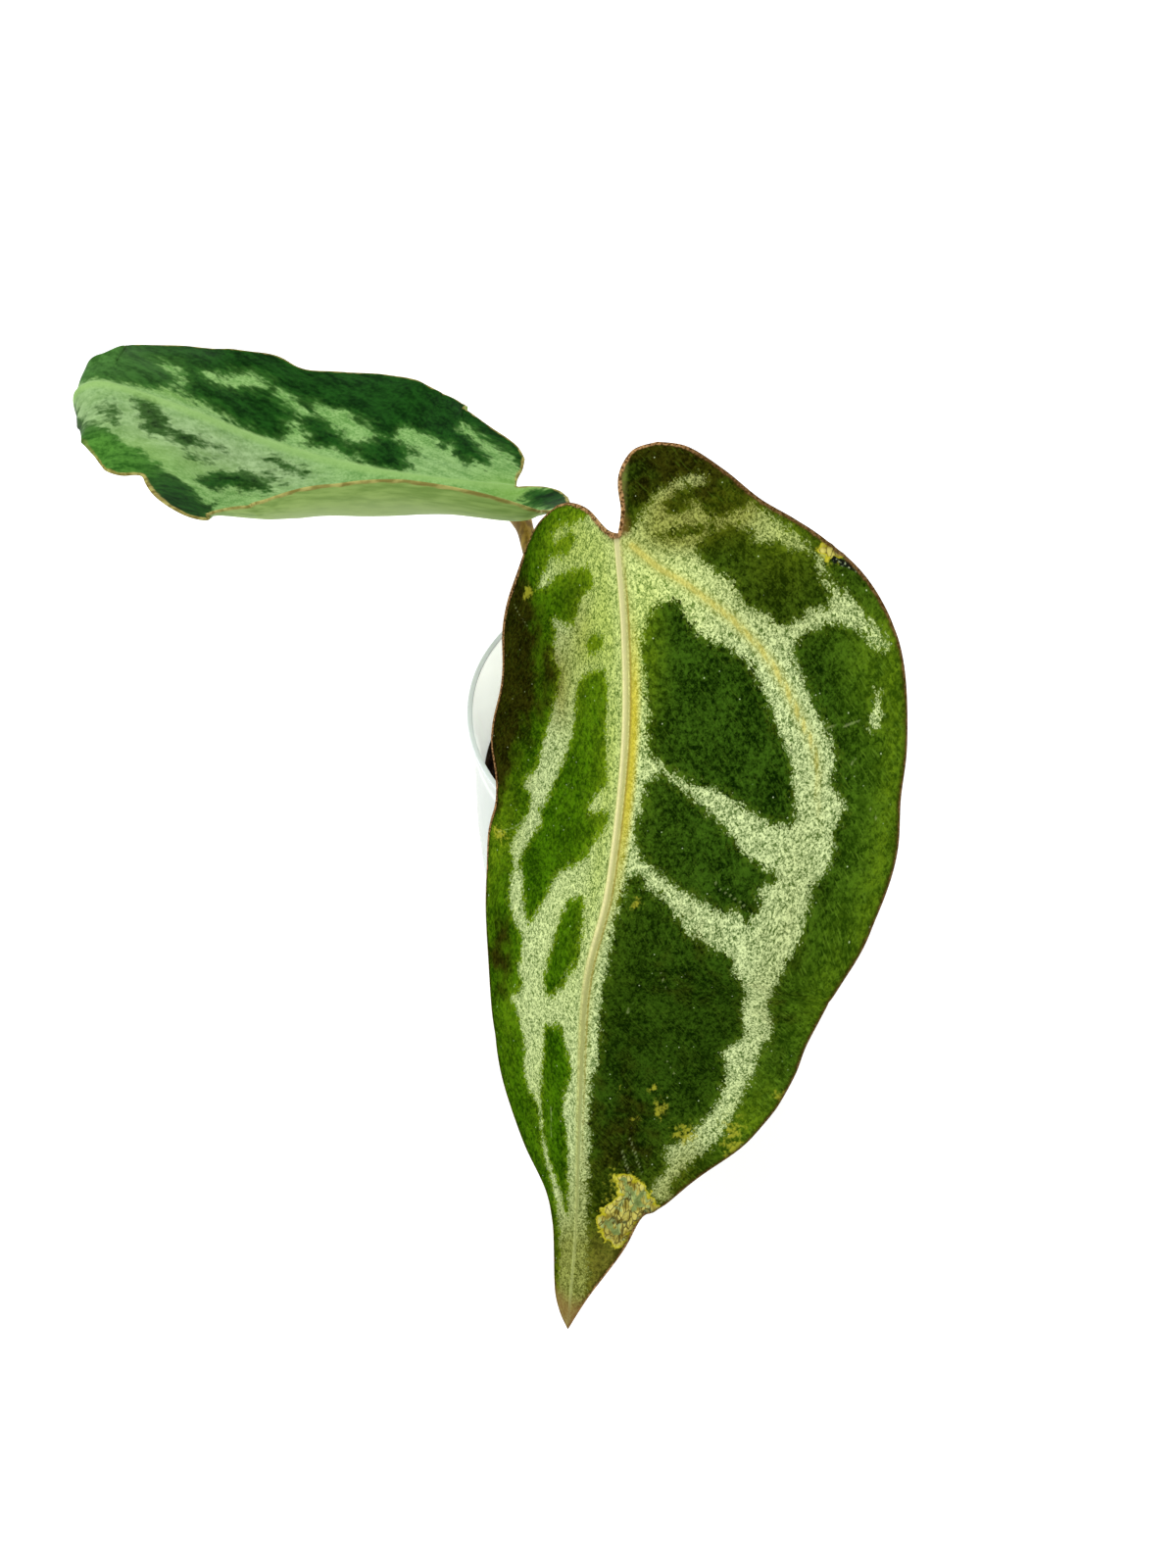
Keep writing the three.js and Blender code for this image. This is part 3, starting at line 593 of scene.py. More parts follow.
# Where each leaf is tinted otherwise than its main green, as soft patches of [along, side, reach
# along, reach across, strength], side being plus or minus with the half
FRONT_TINTS = {
    # On the front leaf the brown and olive patches on the plus half's lobe, by the stalk, are
    # painted shade as well as the leaf's own darker colour.
    "brown": [
        (-22, 14, 16, 22, 1.0), (-18, 36, 10, 14, 0.6), (30, -56, 30, 12, 1.0),
        (58, -60, 26, 8, 0.7), (10, -54, 12, 10, 0.7), (34, -32, 16, 7, 0.5),
        (36, -45, 24, 8, 0.42), (160, 12, 26, 12, 0.55), (124, -42, 14, 7, 0.75),
        (72, -60, 16, 6, 0.5), (112, 50, 30, 10, 0.3), (104, 24, 18, 12, 0.3)],
    "lime": [
        (96, -53, 26, 9, 0.8), (60, 67, 60, 4, 0.5), (2, 42, 9, 10, 0.7), (-4, -26, 9, 14, 0.5),
        (6, -30, 8, 12, 0.4), (30, 62, 14, 8, 0.3), (140, -36, 24, 7, 0.4), (80, -12, 40, 20, 0.25),
        (156, 46, 12, 8, 0.6), (160, -20, 20, 8, 0.3), (36, -22, 16, 7, 0.6), (-4, -22, 8, 8, 0.5),
        (48, -6, 30, 6, 0.8), (92, -5, 30, 4, 0.4), (8, -7, 14, 6, 0.35), (26, 5, 18, 4, 0.6),
        (18, -14, 14, 9, 0.6), (0, -14, 8, 12, 0.4), (110, 60, 20, 5, 0.4), (26, -13, 6, 6, 1.0)],
    "olive": [
        (-6, 14, 8, 14, 1.0), (2, 16, 5, 12, 0.8), (-5, 30, 6, 8, 0.8), (12, 38, 14, 16, 0.6),
        (202, 8, 16, 10, 1.0), (206, -4, 22, 9, 1.0), (180, 24, 14, 8, 0.7), (176, 6, 12, 10, 0.5),
        (52, -52, 26, 12, 0.5), (170, 30, 14, 6, 0.5), (34, -34, 18, 10, 0.45),
        (22, -20, 14, 6, 0.5), (38, -29, 12, 5, 0.6), (100, 46, 40, 6, 0.25)],
    "mint": [
        (20, 6, 30, 10, 0.8), (14, 18, 12, 12, 0.5), (12, -8, 16, 8, 0.6),
        (112, -14, 50, 14, 0.25)],
}
BACK_TINTS = {
    "lime": [
        (2, 3, 9, 8, 0.9), (104, 26, 14, 10, 0.55), (80, 20, 14, 7, 0.35), (120, -6, 40, 3, 0.5)],
    "mint": [
        (96, 12, 26, 14, 0.9), (66, 10, 18, 10, 0.7), (128, 10, 12, 12, 0.5), (30, -8, 24, 8, 0.3)],
    "pale": [(132, -16, 24, 20, 0.75), (120, 26, 22, 16, 0.6)],
}

# Faults of the front leaf, in [along, side]: scratches, loops round dry skin, dark lines in it,
# and yellow spots as soft patches
SCRATCHES = [
    [(107, 18), (113, 20)], [(82, 25), (84, 27), (88, 35)], [(159, 13), (170, 17)],
    [(162, 11), (171, 14)], [(62, 61), (65, 64)], [(51, 57), (53, 56)], [(11, -51), (20, -44)],
    [(157, -13), (166, -12)], [(66, -23), (70, -24)], [(96, -54), (81, -41)], [(46, 49), (44, 61)],
    [(119, 12), (122, 11)], [(136, 22), (140, 24)]]
DRY_PATCHES = [
    [(171, 10), (170, 14), (173, 17), (177, 20), (182, 22), (186, 17), (190, 15), (193, 12),
     (191, 8), (188, 6), (184, 5), (180, 8), (176, 11)],
    [(6, 50), (7, 53), (9, 55), (11, 54), (10, 50), (8, 48)],
]
DRY_HOLES = [
    [(172, 12), (180, 17)], [(185, 8), (189, 11)], [(176, 17), (182, 15)],
    [(10.6, 51.5), (11.6, 54.5)], [(11.6, 54.5), (13, 57.5)]]
YELLOW_SPOTS = [
    (9, -43, 2.2, 2.5, 1.0), (91, 7, 2.2, 1.4, 0.9), (96, -53, 3.5, 5, 0.8),
    (17, 48, 1.2, 1.2, 0.5), (147, 53, 2, 3, 0.8), (156, 40, 5, 4, 0.5), (158, 28, 4, 4, 0.7),
    (150, 21, 4, 1.8, 0.7), (144, 19, 1.6, 1.2, 0.8), (144, 10, 1.2, 1, 0.6),
    (153, 15, 1.6, 2, 0.5), (163, 41, 4, 3, 0.6), (8, 51, 4, 3, 0.7), (178, 10, 12, 4, 0.5)]

# The upper side vein of each half, which is raised or pale, as [along, out]
VEINS = {
    "front": {1: [(3, 3), (9, 9), (13, 15), (18, 21), (22, 26), (27, 31), (32, 35), (38, 39),
                  (43, 42), (49, 46), (55, 48), (61, 48), (68, 50), (84, 46), (98, 41),
                  (120, 43), (147, 39), (162, 32), (177, 21)],
              -1: [(1, 5), (9, 12), (18, 20), (28, 25), (53, 33), (78, 39), (90, 42), (103, 40),
                   (113, 28), (130, 25), (155, 21), (174, 14), (189, 6)]},
    "back": {1: [(0, 0), (4, 8), (12, 16), (30, 22), (60, 26), (90, 24), (120, 12), (140, 4)],
             -1: [(0, 0), (4, 6), (14, 20), (40, 26), (72, 24), (100, 20), (130, 10), (145, 3)]},
}

BLADE_THICKNESS = 0.8
MARGIN_SHARE = 0.35        # of that thickness is left at the margin
MARGIN_ROUND = 0.5
UNDER_RIDGE = {"height": 1.5, "width": 1.6, "fade": 0.7}
RIPPLE_REACH = (18, 62)    # where the waves along the margin set in, out from the midrib
RIPPLE_SHIFT = 1.1         # and how far they differ between the halves
QUILT_REACH = (2, 16)      # where the swellings between the side veins set in
QUILT_SLANT = 0.6
QUILT_FADE = 0.7
SINUS_FADE = 3
ROWS = 250
HALF_SHIFT = 31.7          # keeps the two halves of a leaf apart in its noise
FAR = 99.0                 # stands for no fault nearby


def column_shares():
    """Close together at the midrib and at the margin."""
    inner = [0, 0.007, 0.015, 0.024, 0.034, 0.046]
    middle = list(np.linspace(0.06, 0.955, 46))
    outer = [0.968, 0.979, 0.988, 0.995, 1]
    return np.array(inner + middle + outer)


def arc_run(degrees, degrees_per_cm, distance):
    """How far a line runs and rises that starts at an angle and bends as it goes."""
    start = np.radians(degrees)
    bend = np.radians(degrees_per_cm) / 10
    bend = np.where(np.abs(bend) < 1e-6, 1e-6, bend)
    end = start + bend * distance
    return (np.sin(end) - np.sin(start)) / bend, (np.cos(start) - np.cos(end)) / bend


class Leaf:
    """A blade's form: its midrib in space, its outline laid flat, and how each half curls."""

    def __init__(self, form):
        self.form = form
        self.rib = Path(form["midrib"], even=True)
        self.length = self.rib.length

    def frame(self, along):
        """The share of the way, the midrib's point, and the three directions there."""
        distance = np.clip(along, 0, self.length)
        rows = np.array(self.form["sideways"], float)
        tangent = self.rib.tangent(distance)
        share = distance / self.length
        side = np.stack([np.interp(share, rows[:, 0], rows[:, k]) for k in (1, 2, 3)], -1)
        side = unit(side - tangent * np.sum(side * tangent, -1, keepdims=True))
        return share, self.rib.at(distance), tangent, side, np.cross(tangent, side)

    def at(self, along, out, half):
        """Where points of the blade laid flat lie in space."""
        share, centre, tangent, side, normal = self.frame(along)
        curl = np.array(self.form[half]["curl"], float)
        steep, bend = (np.interp(share, curl[:, 0], curl[:, k]) for k in (1, 2))
        run, rise = arc_run(steep, bend, out)
        back_run, back_rise = arc_run(*self.form[half]["lobe"], np.maximum(0, -along))
        lift = rise + self.wave(along, out, half) - back_rise
        return (centre + side * (half * run)[..., None] + normal * lift[..., None]
                - tangent * back_run[..., None])

    def wave(self, along, out, half):
        height, length, quilt, pitch = self.form["wave"]
        edge = smooth(out, *RIPPLE_REACH)
        ripple = np.sin(2 * math.pi * along / length + RIPPLE_SHIFT * half)
        bulge = np.cos(2 * math.pi * (along - QUILT_SLANT * out) / pitch)
        inner = smooth(out, *QUILT_REACH) * (1 - QUILT_FADE * edge)
        return height * edge * ripple + quilt * bulge * inner

    def flat(self, half, down, shares):
        """One half laid flat: [along, out] for each row and column."""
        sinus = Path(self.form[half]["sinus"], even=True, repeat_ends=True)
        margin = Path(self.form[half]["margin"], even=True, repeat_ends=True)
        edge = margin.at(margin.length * down)[:, None]
        rib = np.stack([self.length * down, 0 * down], -1)[:, None]
        fade = ((1 - down) ** SINUS_FADE)[:, None, None]
        share = shares[None, :, None]
        notch = sinus.at(sinus.length * shares)[None]
        return rib + (edge - rib) * share + fade * notch - fade * share * sinus.points[-1]

    def outline(self, half):
        """Corners round one half laid flat, from the stalk round the lobe to the tip."""
        parts = (self.form[half]["sinus"], self.form[half]["margin"])
        return np.vstack([spline(part, True, True, 8) for part in parts])


def marked_depth(marks, half, along, out):
    """How deep a point lies in green: negative in silver."""
    green = np.max([inside_depth(along, out, loop) for loop in marks["green"][half]], axis=0)
    for loop in marks["silver"][half]:
        green = np.minimum(green, -inside_depth(along, out, loop))
    return green


def front_faults(along, side):
    """Scratches, yellow spots and dry torn patches."""
    def nearest(strokes):
        return np.min([line_distance(along, side, line) for line in strokes], axis=0)

    dry = np.max([inside_depth(along, side, loop) for loop in DRY_PATCHES], axis=0)
    return {
        "scratch": np.minimum(nearest(SCRATCHES), FAR),
        "dry": np.maximum(dry, -FAR),
        "hole": np.minimum(nearest(DRY_HOLES), FAR),
        "spot": patches(along, side, YELLOW_SPOTS),
    }


def half_fields(name, leaf, marks, tints, half, flat):
    """What one half of a blade carries for its material at each point."""
    along, out = flat[..., 0], flat[..., 1]
    fields = {
        "patch": marked_depth(marks, half, along, out),
        "edge": line_distance(along, out, leaf.outline(half)),
        "rib": out,
        "vein": line_distance(along, out, VEINS[name][half]),
        "along": along,
        "flat": np.stack([along, out, np.full(along.shape, HALF_SHIFT * half)], -1),
        "side": out * half,
    }
    for key, rows in tints.items():
        fields["tint_" + key] = patches(along, out * half, rows)
    if name == "front":
        fields.update(front_faults(along, out * half))
    return fields


def build_blade(name, leaf, marks, tints, material, relief):
    down, shares = np.linspace(0, 1, ROWS + 1), column_shares()
    parts, grids = {}, []
    for half, order in ((-1, slice(None, None, -1)), (1, slice(1, None))):
        flat = leaf.flat(half, down, shares)
        grids.append(leaf.at(flat[..., 0], flat[..., 1], half)[:, order])
        for key, value in half_fields(name, leaf, marks, tints, half, flat).items():
            parts.setdefault(key, []).append(value[:, order])
    fields = {key: np.concatenate(part, axis=1) for key, part in parts.items()}
    middle = np.concatenate(grids, axis=1)

    # The last row is the tip, one point in the midrib's column
    rows, width = middle.shape[:2]
    rib_column = len(shares) - 1
    normal = grid_normals(middle)
    normal[-1] = normal[-2, rib_column]
    if np.sum(normal[rows // 2, rib_column] * leaf.frame(np.array([leaf.length / 2]))[4]) < 0:
        normal = -normal
    thin = MARGIN_SHARE + (1 - MARGIN_SHARE) * smooth(fields["edge"], 0, MARGIN_ROUND)
    half_thick = thin * BLADE_THICKNESS / 2
    ridge = swell(fields["rib"], UNDER_RIDGE["height"], UNDER_RIDGE["width"])
    ridge = ridge * (1 - down[:, None]) ** UNDER_RIDGE["fade"]
    upper = middle + normal * (half_thick + relief(fields))[..., None]
    lower = middle - normal * (half_thick + ridge)[..., None]
    count = (rows - 1) * width + 1
    keep = [*range(count - 1), (rows - 1) * width + rib_column]
    corners = np.vstack([upper.reshape(-1, 3)[keep], lower.reshape(-1, 3)[keep]])
    index = np.minimum(np.arange(rows * width), count - 1).reshape(rows, width)
    faces = sheet_faces(index, count)
    a, b, c = (corners[v] for v in faces[0][:3])
    if np.dot(np.cross(b - a, c - a), normal[0, 0]) < 0:
        faces = [face[::-1] for face in faces]

    attributes = {"under": np.repeat([0.0, 1.0], count)}
    for key, value in fields.items():
        kept = value.reshape(rows * width, *value.shape[2:])[keep]
        attributes[key] = np.concatenate([kept, kept])
    return add_piece(f"blade_{name}_velvet", corners, faces, material, (f"blade_{name}",),
                     attributes)


# Relief of the blades' upper sides

def front_relief(fields):
    along, side = fields["along"], fields["side"]
    ridge = swell(fields["rib"], 0.75, 1.0) * (1 - smooth(along, 120, 221))
    vein = swell(fields["vein"], np.where(side > 0, 0.45, 0.2), 1.1) * (1 - smooth(along, 45, 95))
    panel = 0.4 * smooth(fields["patch"], -0.5, 6) * smooth(fields["edge"], 1, 8)
    crease = 0.6 * smooth(fields["dry"], -2, 2) * np.sin(0.9 * along + 1.6 * side)
    return ridge + vein + panel + crease


def back_relief(fields):
    ridge = swell(fields["rib"], 0.6, 1.1) * (1 - smooth(fields["along"], 90, 160))
    panel = 0.3 * smooth(fields["patch"], -0.5, 6) * smooth(fields["edge"], 1, 8)
    return ridge + panel


# Blade materials

class BladeShade(Shade):
    """A blade's material, with the fields that its mesh carries."""

    def __init__(self, name, **surface):
        super().__init__(name, **surface)
        self.flat = self.vector("flat")
        for key in ("patch", "edge", "rib", "vein", "side", "along", "under"):
            setattr(self, key, self.value(key))

    def slanted(self, length, width, turn):
        """The flat place, drawn out into streaks."""
        inputs = {"Vector": self.flat, "Scale": (length, width, 1), "Rotation": (0, 0, turn)}
        return self.node("Mapping", inputs, vector_type="TEXTURE")


def front_green(s, left, sand, dust, streaks, fringe):
    """Dark on the plus half and brighter on the other, in painted shade and painted light; mottled,
    with fine pale threads.
    """
    flat, edge, side, along = s.flat, s.edge, s.side, s.along
    mottle = s.add(s.times(s.noise(flat, 0.9, 3), 0.5), s.times(s.noise(flat, 0.12, 2), 0.3),
                   s.times(sand, 0.12), s.times(dust, 0.08))
    mottle = s.step(mottle, 0.36, 0.66)
    # The plus half's greens are painted darker and the minus half's lighter: painted shade and
    # painted light, as the key light falls on the minus half.
    dark = s.mix(left, (0.002, 0.009, 0.0003), (0.005, 0.025, 0.0002))
    light = s.mix(left, (0.034, 0.086, 0.005), (0.046, 0.137, 0.0015))
    body = s.mix(mottle, dark, light)
    shady = s.times(s.step(along, 70, 120), s.step(side, 0, 3), s.step(edge, 10, 22))
    body = s.over(body, s.mix(mottle, (0.003, 0.01, 0.0003), (0.024, 0.058, 0.003)), shady, 0.75)
    outward = s.times(s.step(edge, 22, 8), s.step(side, 10, 30), s.step(along, 10, 40))
    body = s.over(body, s.mix(mottle, (0.014, 0.045, 0.001), (0.075, 0.155, 0.007)), outward, 0.45)
    cloudy = s.step(s.noise(flat, 0.3, 4), 0.48, 0.62)
    body = s.over(body, (0.012, 0.036, 0.001), outward, cloudy, 0.5)
    limed = s.times(s.value("tint_lime"), s.step(s.noise(flat, 0.35, 3), 0.3, 0.6, (0.45, 1.0)))
    body = s.mix(limed, body, s.mix(mottle, (0.04, 0.085, 0.002), (0.15, 0.24, 0.006)))
    # Olive patches: the leaf's own olive, and painted shade on the plus half's lobe.
    body = s.over(body, s.mix(mottle, (0.012, 0.02, 0.0005), (0.06, 0.07, 0.003)),
                  s.value("tint_olive"), 0.85)
    tip = s.times(s.step(along, 182, 200), s.step(side, 0, 3))
    body = s.over(body, s.mix(mottle, (0.05, 0.05, 0.005), (0.17, 0.165, 0.022)), tip, 0.85)
    # Brown patches: the leaf's own browning, and painted shade on the plus half's lobe.
    browned_and_shaded = s.step(s.add(s.value("tint_brown"), s.wobble(flat, 0.2, 0.25)), 0.15, 0.85)
    body = s.mix(browned_and_shaded, body, s.mix(mottle, (0.005, 0.005, 0.0003), (0.028, 0.03, 0.002)))
    thread = s.times(s.step(s.noise(streaks, 1.6, 3), 0.56, 0.7), s.step(outward, 0, 1, (0.2, 0.6)))
    body = s.mix(thread, body, (0.09, 0.17, 0.012))
    body = s.over(body, s.mix(left, (0.14, 0.19, 0.01), (0.2, 0.3, 0.008)), fringe,
                  s.step(left, 0, 1, (0.22, 0.5)), s.step(sand, 0.1, 0.8))
    speck = s.step(s.cells(flat, 0.3), 0.075, 0.035)
    return s.over(body, (0.5, 0.6, 0.35), speck, 0.6), mottle, browned_and_shaded


def front_silver(s, sand, dust, browned_and_shaded):
    """A glitter of light and dark grains, mintier beside the midrib."""
    flat = s.flat
    glitter = s.add(s.times(s.noise(flat, 1.7, 1), 0.35), s.times(sand, 0.35), s.times(dust, 0.3))
    glitter = s.step(glitter, 0.22, 0.78)
    glitter = s.add(glitter, s.step(s.noise(flat, 0.5, 2), 0.3, 0.7, (-0.14, 0.14)))
    silver = s.mix(glitter, (0.06, 0.115, 0.017), (0.64, 0.75, 0.36))
    mint = s.mix(glitter, (0.12, 0.2, 0.03), (0.7, 0.8, 0.3))
    silver = s.mix(s.value("tint_mint"), silver, mint)
    silver = s.over(silver, s.mix(glitter, (0.05, 0.11, 0.004), (0.44, 0.54, 0.07)),
                    s.value("tint_lime"), 0.7)
    silver = s.over(silver, s.mix(glitter, (0.055, 0.06, 0.004), (0.24, 0.26, 0.03)),
                    s.value("tint_olive"), 0.85)
    silver = s.over(silver, s.mix(glitter, (0.015, 0.015, 0.002), (0.26, 0.26, 0.06)), browned_and_shaded, 0.6)
    return silver, glitter


def front_ridges(s, colour, sand, dust):
    """The midrib and the upper vein: cream ridges shaded with gold, with a painted highlight on the
    midrib's crest and painted shade on its plus flank.
    """
    flat, rib, vein, side, along = s.flat, s.rib, s.vein, s.side, s.along
    warm = s.times(s.step(along, 10, 40), s.step(along, 120, 75))
    grit = s.step(s.add(sand, dust), 0.2, 1.8, (0.72, 1.16))
    gold_band = s.times(s.step(side, 0.3, 1.1), s.step(side, 4.0, 1.6), s.step(along, 14, 44),
                        s.step(along, 100, 62))
    colour = s.over(colour, s.scale((0.52, 0.43, 0.012), grit), gold_band, 0.92)
    glow = s.times(s.step(rib, 3.0, 0.6), s.step(along, 200, 120))
    colour = s.over(colour, (0.4, 0.42, 0.11), glow, 0.35)
    ridge_wide = s.step(s.add(rib, s.wobble(flat, 1.2, 0.15), s.step(along, 105, 170, (0, 0.5))),
                        1.0, 0.45)
    ridge_colour = s.mix(warm, (0.42, 0.43, 0.15), (0.56, 0.55, 0.2))
    ridge_colour = s.mix(s.step(along, 105, 170), ridge_colour, (0.36, 0.4, 0.13))
    ridge_colour = s.scale(ridge_colour, grit)
    colour = s.over(colour, ridge_colour, ridge_wide, 0.85)
    # A pale cream line along the midrib's crest: painted highlight.
    crest = s.times(s.step(s.math("ABSOLUTE", s.add(side, 0.15)), 0.45, 0.15),
                    s.step(along, 130, 90))
    colour = s.over(colour, (0.74, 0.7, 0.36), crest, 0.6)
    # A darker line down the midrib's plus flank: painted shade.
    shaded_flank = s.times(s.step(s.math("ABSOLUTE", s.math("SUBTRACT", side, 0.9)), 0.4, 0.1),
                   s.step(along, 2, 20), s.step(along, 180, 110))
    colour = s.over(colour, (0.26, 0.19, 0.02), shaded_flank, 0.6)
    upper = s.times(s.step(vein, 1.1, 0.35), s.step(side, 0.4, 1.6), s.step(along, 72, 40))
    colour = s.over(colour, s.scale((0.5, 0.44, 0.08), grit), upper, 0.7)
    around = s.times(s.step(vein, 2.6, 0.8), s.step(side, 0.4, 1.6), s.step(along, 70, 30))
    return s.over(colour, (0.42, 0.42, 0.1), around, 0.3)


def front_damage(s, colour):
    """Yellow spots, scratches and dry torn patches."""
    flat, along = s.flat, s.along
    spotted = s.step(s.add(s.value("spot"), s.wobble(flat, 0.9, 0.35, 3)), 0.35, 0.8)
    colour = s.over(colour, (0.38, 0.37, 0.03), spotted, 0.6)
    scratched = s.step(s.add(s.value("scratch"), s.wobble(flat, 0.8, 0.15)), 0.5, 0.2)
    colour = s.over(colour, (0.42, 0.5, 0.2), scratched, 0.22)
    dry_level = s.add(s.value("dry"), s.wobble(flat, 0.5, 1.0, 3))
    dry = s.step(dry_level, -0.4, 0.3)
    crack = s.step(s.cells(s.stretch(flat, (0.5, 1.2, 1), 40), 0.7, "DISTANCE_TO_EDGE"), 0.1, 0.02)
    tan = s.blend(s.noise(flat, 0.5, 3), (0.2, 0.16, 0.02), (0.52, 0.48, 0.11))
    tan = s.over(tan, (0.3, 0.42, 0.16), s.step(s.noise(flat, 0.28, 2, 0.5, 1.5), 0.55, 0.62), 0.7)
    tan = s.over(tan, (0.03, 0.022, 0.005), crack, 0.8)
    tan = s.over(tan, (0.46, 0.43, 0.015), s.step(dry_level, 1.1, 0.2), 0.8)
    colour = s.mix(dry, colour, tan)
    torn = s.step(s.add(s.value("hole"), s.wobble(flat, 0.8, 0.4)), 0.95, 0.5)
    tear = s.mix(s.step(s.noise(flat, 1.2, 1), 0.55, 0.7), (0.006, 0.008, 0.005),
                 (0.22, 0.27, 0.14))
    tear = s.mix(s.step(along, 90, 110), tear,
                 s.mix(s.noise(flat, 0.9, 2), (0.05, 0.075, 0.012), (0.34, 0.44, 0.14)))
    return s.mix(torn, colour, tear)


def front_margin(s, colour, left):
    """A coppery margin, darker inside it, broadest on the minus half."""
    flat, edge, rib, side, along = s.flat, s.edge, s.rib, s.side, s.along
    worn = s.wobble(flat, 0.6, 0.25, 3)
    inner = s.step(s.add(edge, worn), 1.7, 0.6)
    colour = s.over(colour, (0.025, 0.014, 0.002), inner, 0.6)
    shaded = s.times(s.step(s.add(edge, worn), 2.6, 1.3), left, s.step(along, 112, 88),
                     s.step(along, -6, 8))
    colour = s.over(colour, (0.008, 0.004, 0.001), shaded, 0.85)
    broad = s.step(along, 45, 5, (0.0, 0.45))
    broad = s.add(broad, s.times(left, s.step(along, 118, 96), s.step(along, -4, 8), 0.8))
    outer = s.step(s.add(edge, s.times(worn, 0.6), s.times(broad, -1)), 0.75, 0.3)
    copper = s.blend(s.noise(flat, 1.6, 2), (0.05, 0.02, 0.005), (0.4, 0.23, 0.095))
    copper = s.over(copper, (0.05, 0.026, 0.006), s.step(side, 12, 20), 0.7)
    joint = s.times(s.step(rib, 4, 1.5), s.step(along, 1.6, -0.6), s.step(along, -6, -2))
    colour = s.over(colour, (0.1, 0.045, 0.012), joint, 0.8)
    colour = s.over(colour, copper, outer, 0.9)
    colour = s.over(colour, (0.2, 0.11, 0.035), s.step(along, 208, 216), 0.7)
    return colour, outer, copper


def front_underside(s, outer, copper):
    back = s.blend(s.noise(s.flat, 0.4, 3), (0.13, 0.2, 0.05), (0.24, 0.33, 0.11))
    back = s.over(back, (0.34, 0.4, 0.16), s.step(s.vein, 1.6, 0.5), 0.5)
    back = s.over(back, (0.36, 0.38, 0.15), s.step(s.rib, 2.6, 1.2), 0.7)
    return s.over(back, copper, outer, 0.8)


def front_blade_material():
    s = BladeShade("velvet_blade", Specular_IOR_Level=0.0)
    left = s.step(s.side, 1.5, -1.5)
    sand, dust = s.crumbs(s.flat, 2.1), s.crumbs(s.flat, 3.9)
    streaks = s.slanted(5, 0.7, 0.75)
    level = s.add(s.patch, s.wobble(s.flat, 0.5, 0.9, 3), s.wobble(s.flat, 1.9, 0.7, 2),
                  s.wobble(streaks, 1.0, 0.5, 2), s.step(sand, 0, 1, (-0.55, 0.55)))
    green = s.step(level, -0.2, 0.3)
    fringe = s.times(s.step(level, -0.5, 0.4), s.step(level, 2.6, 0.5))
    body, mottle, browned_and_shaded = front_green(s, left, sand, dust, streaks, fringe)
    silver, glitter = front_silver(s, sand, dust, browned_and_shaded)
    colour = front_ridges(s, s.mix(green, silver, body), sand, dust)
    colour, outer, copper = front_margin(s, front_damage(s, colour), left)
    colour = s.mix(s.under, colour, front_underside(s, outer, copper))
    height = s.add(s.times(s.math("SUBTRACT", 1.0, green), glitter, 0.5), s.times(mottle, 0.5),
                   s.times(s.noise(s.flat, 5.0, 2), 0.4))
    s.bump(height, 0.22, 0.6)
    return s.finish(colour, s.mix(green, (0.5,) * 3, (0.66,) * 3))


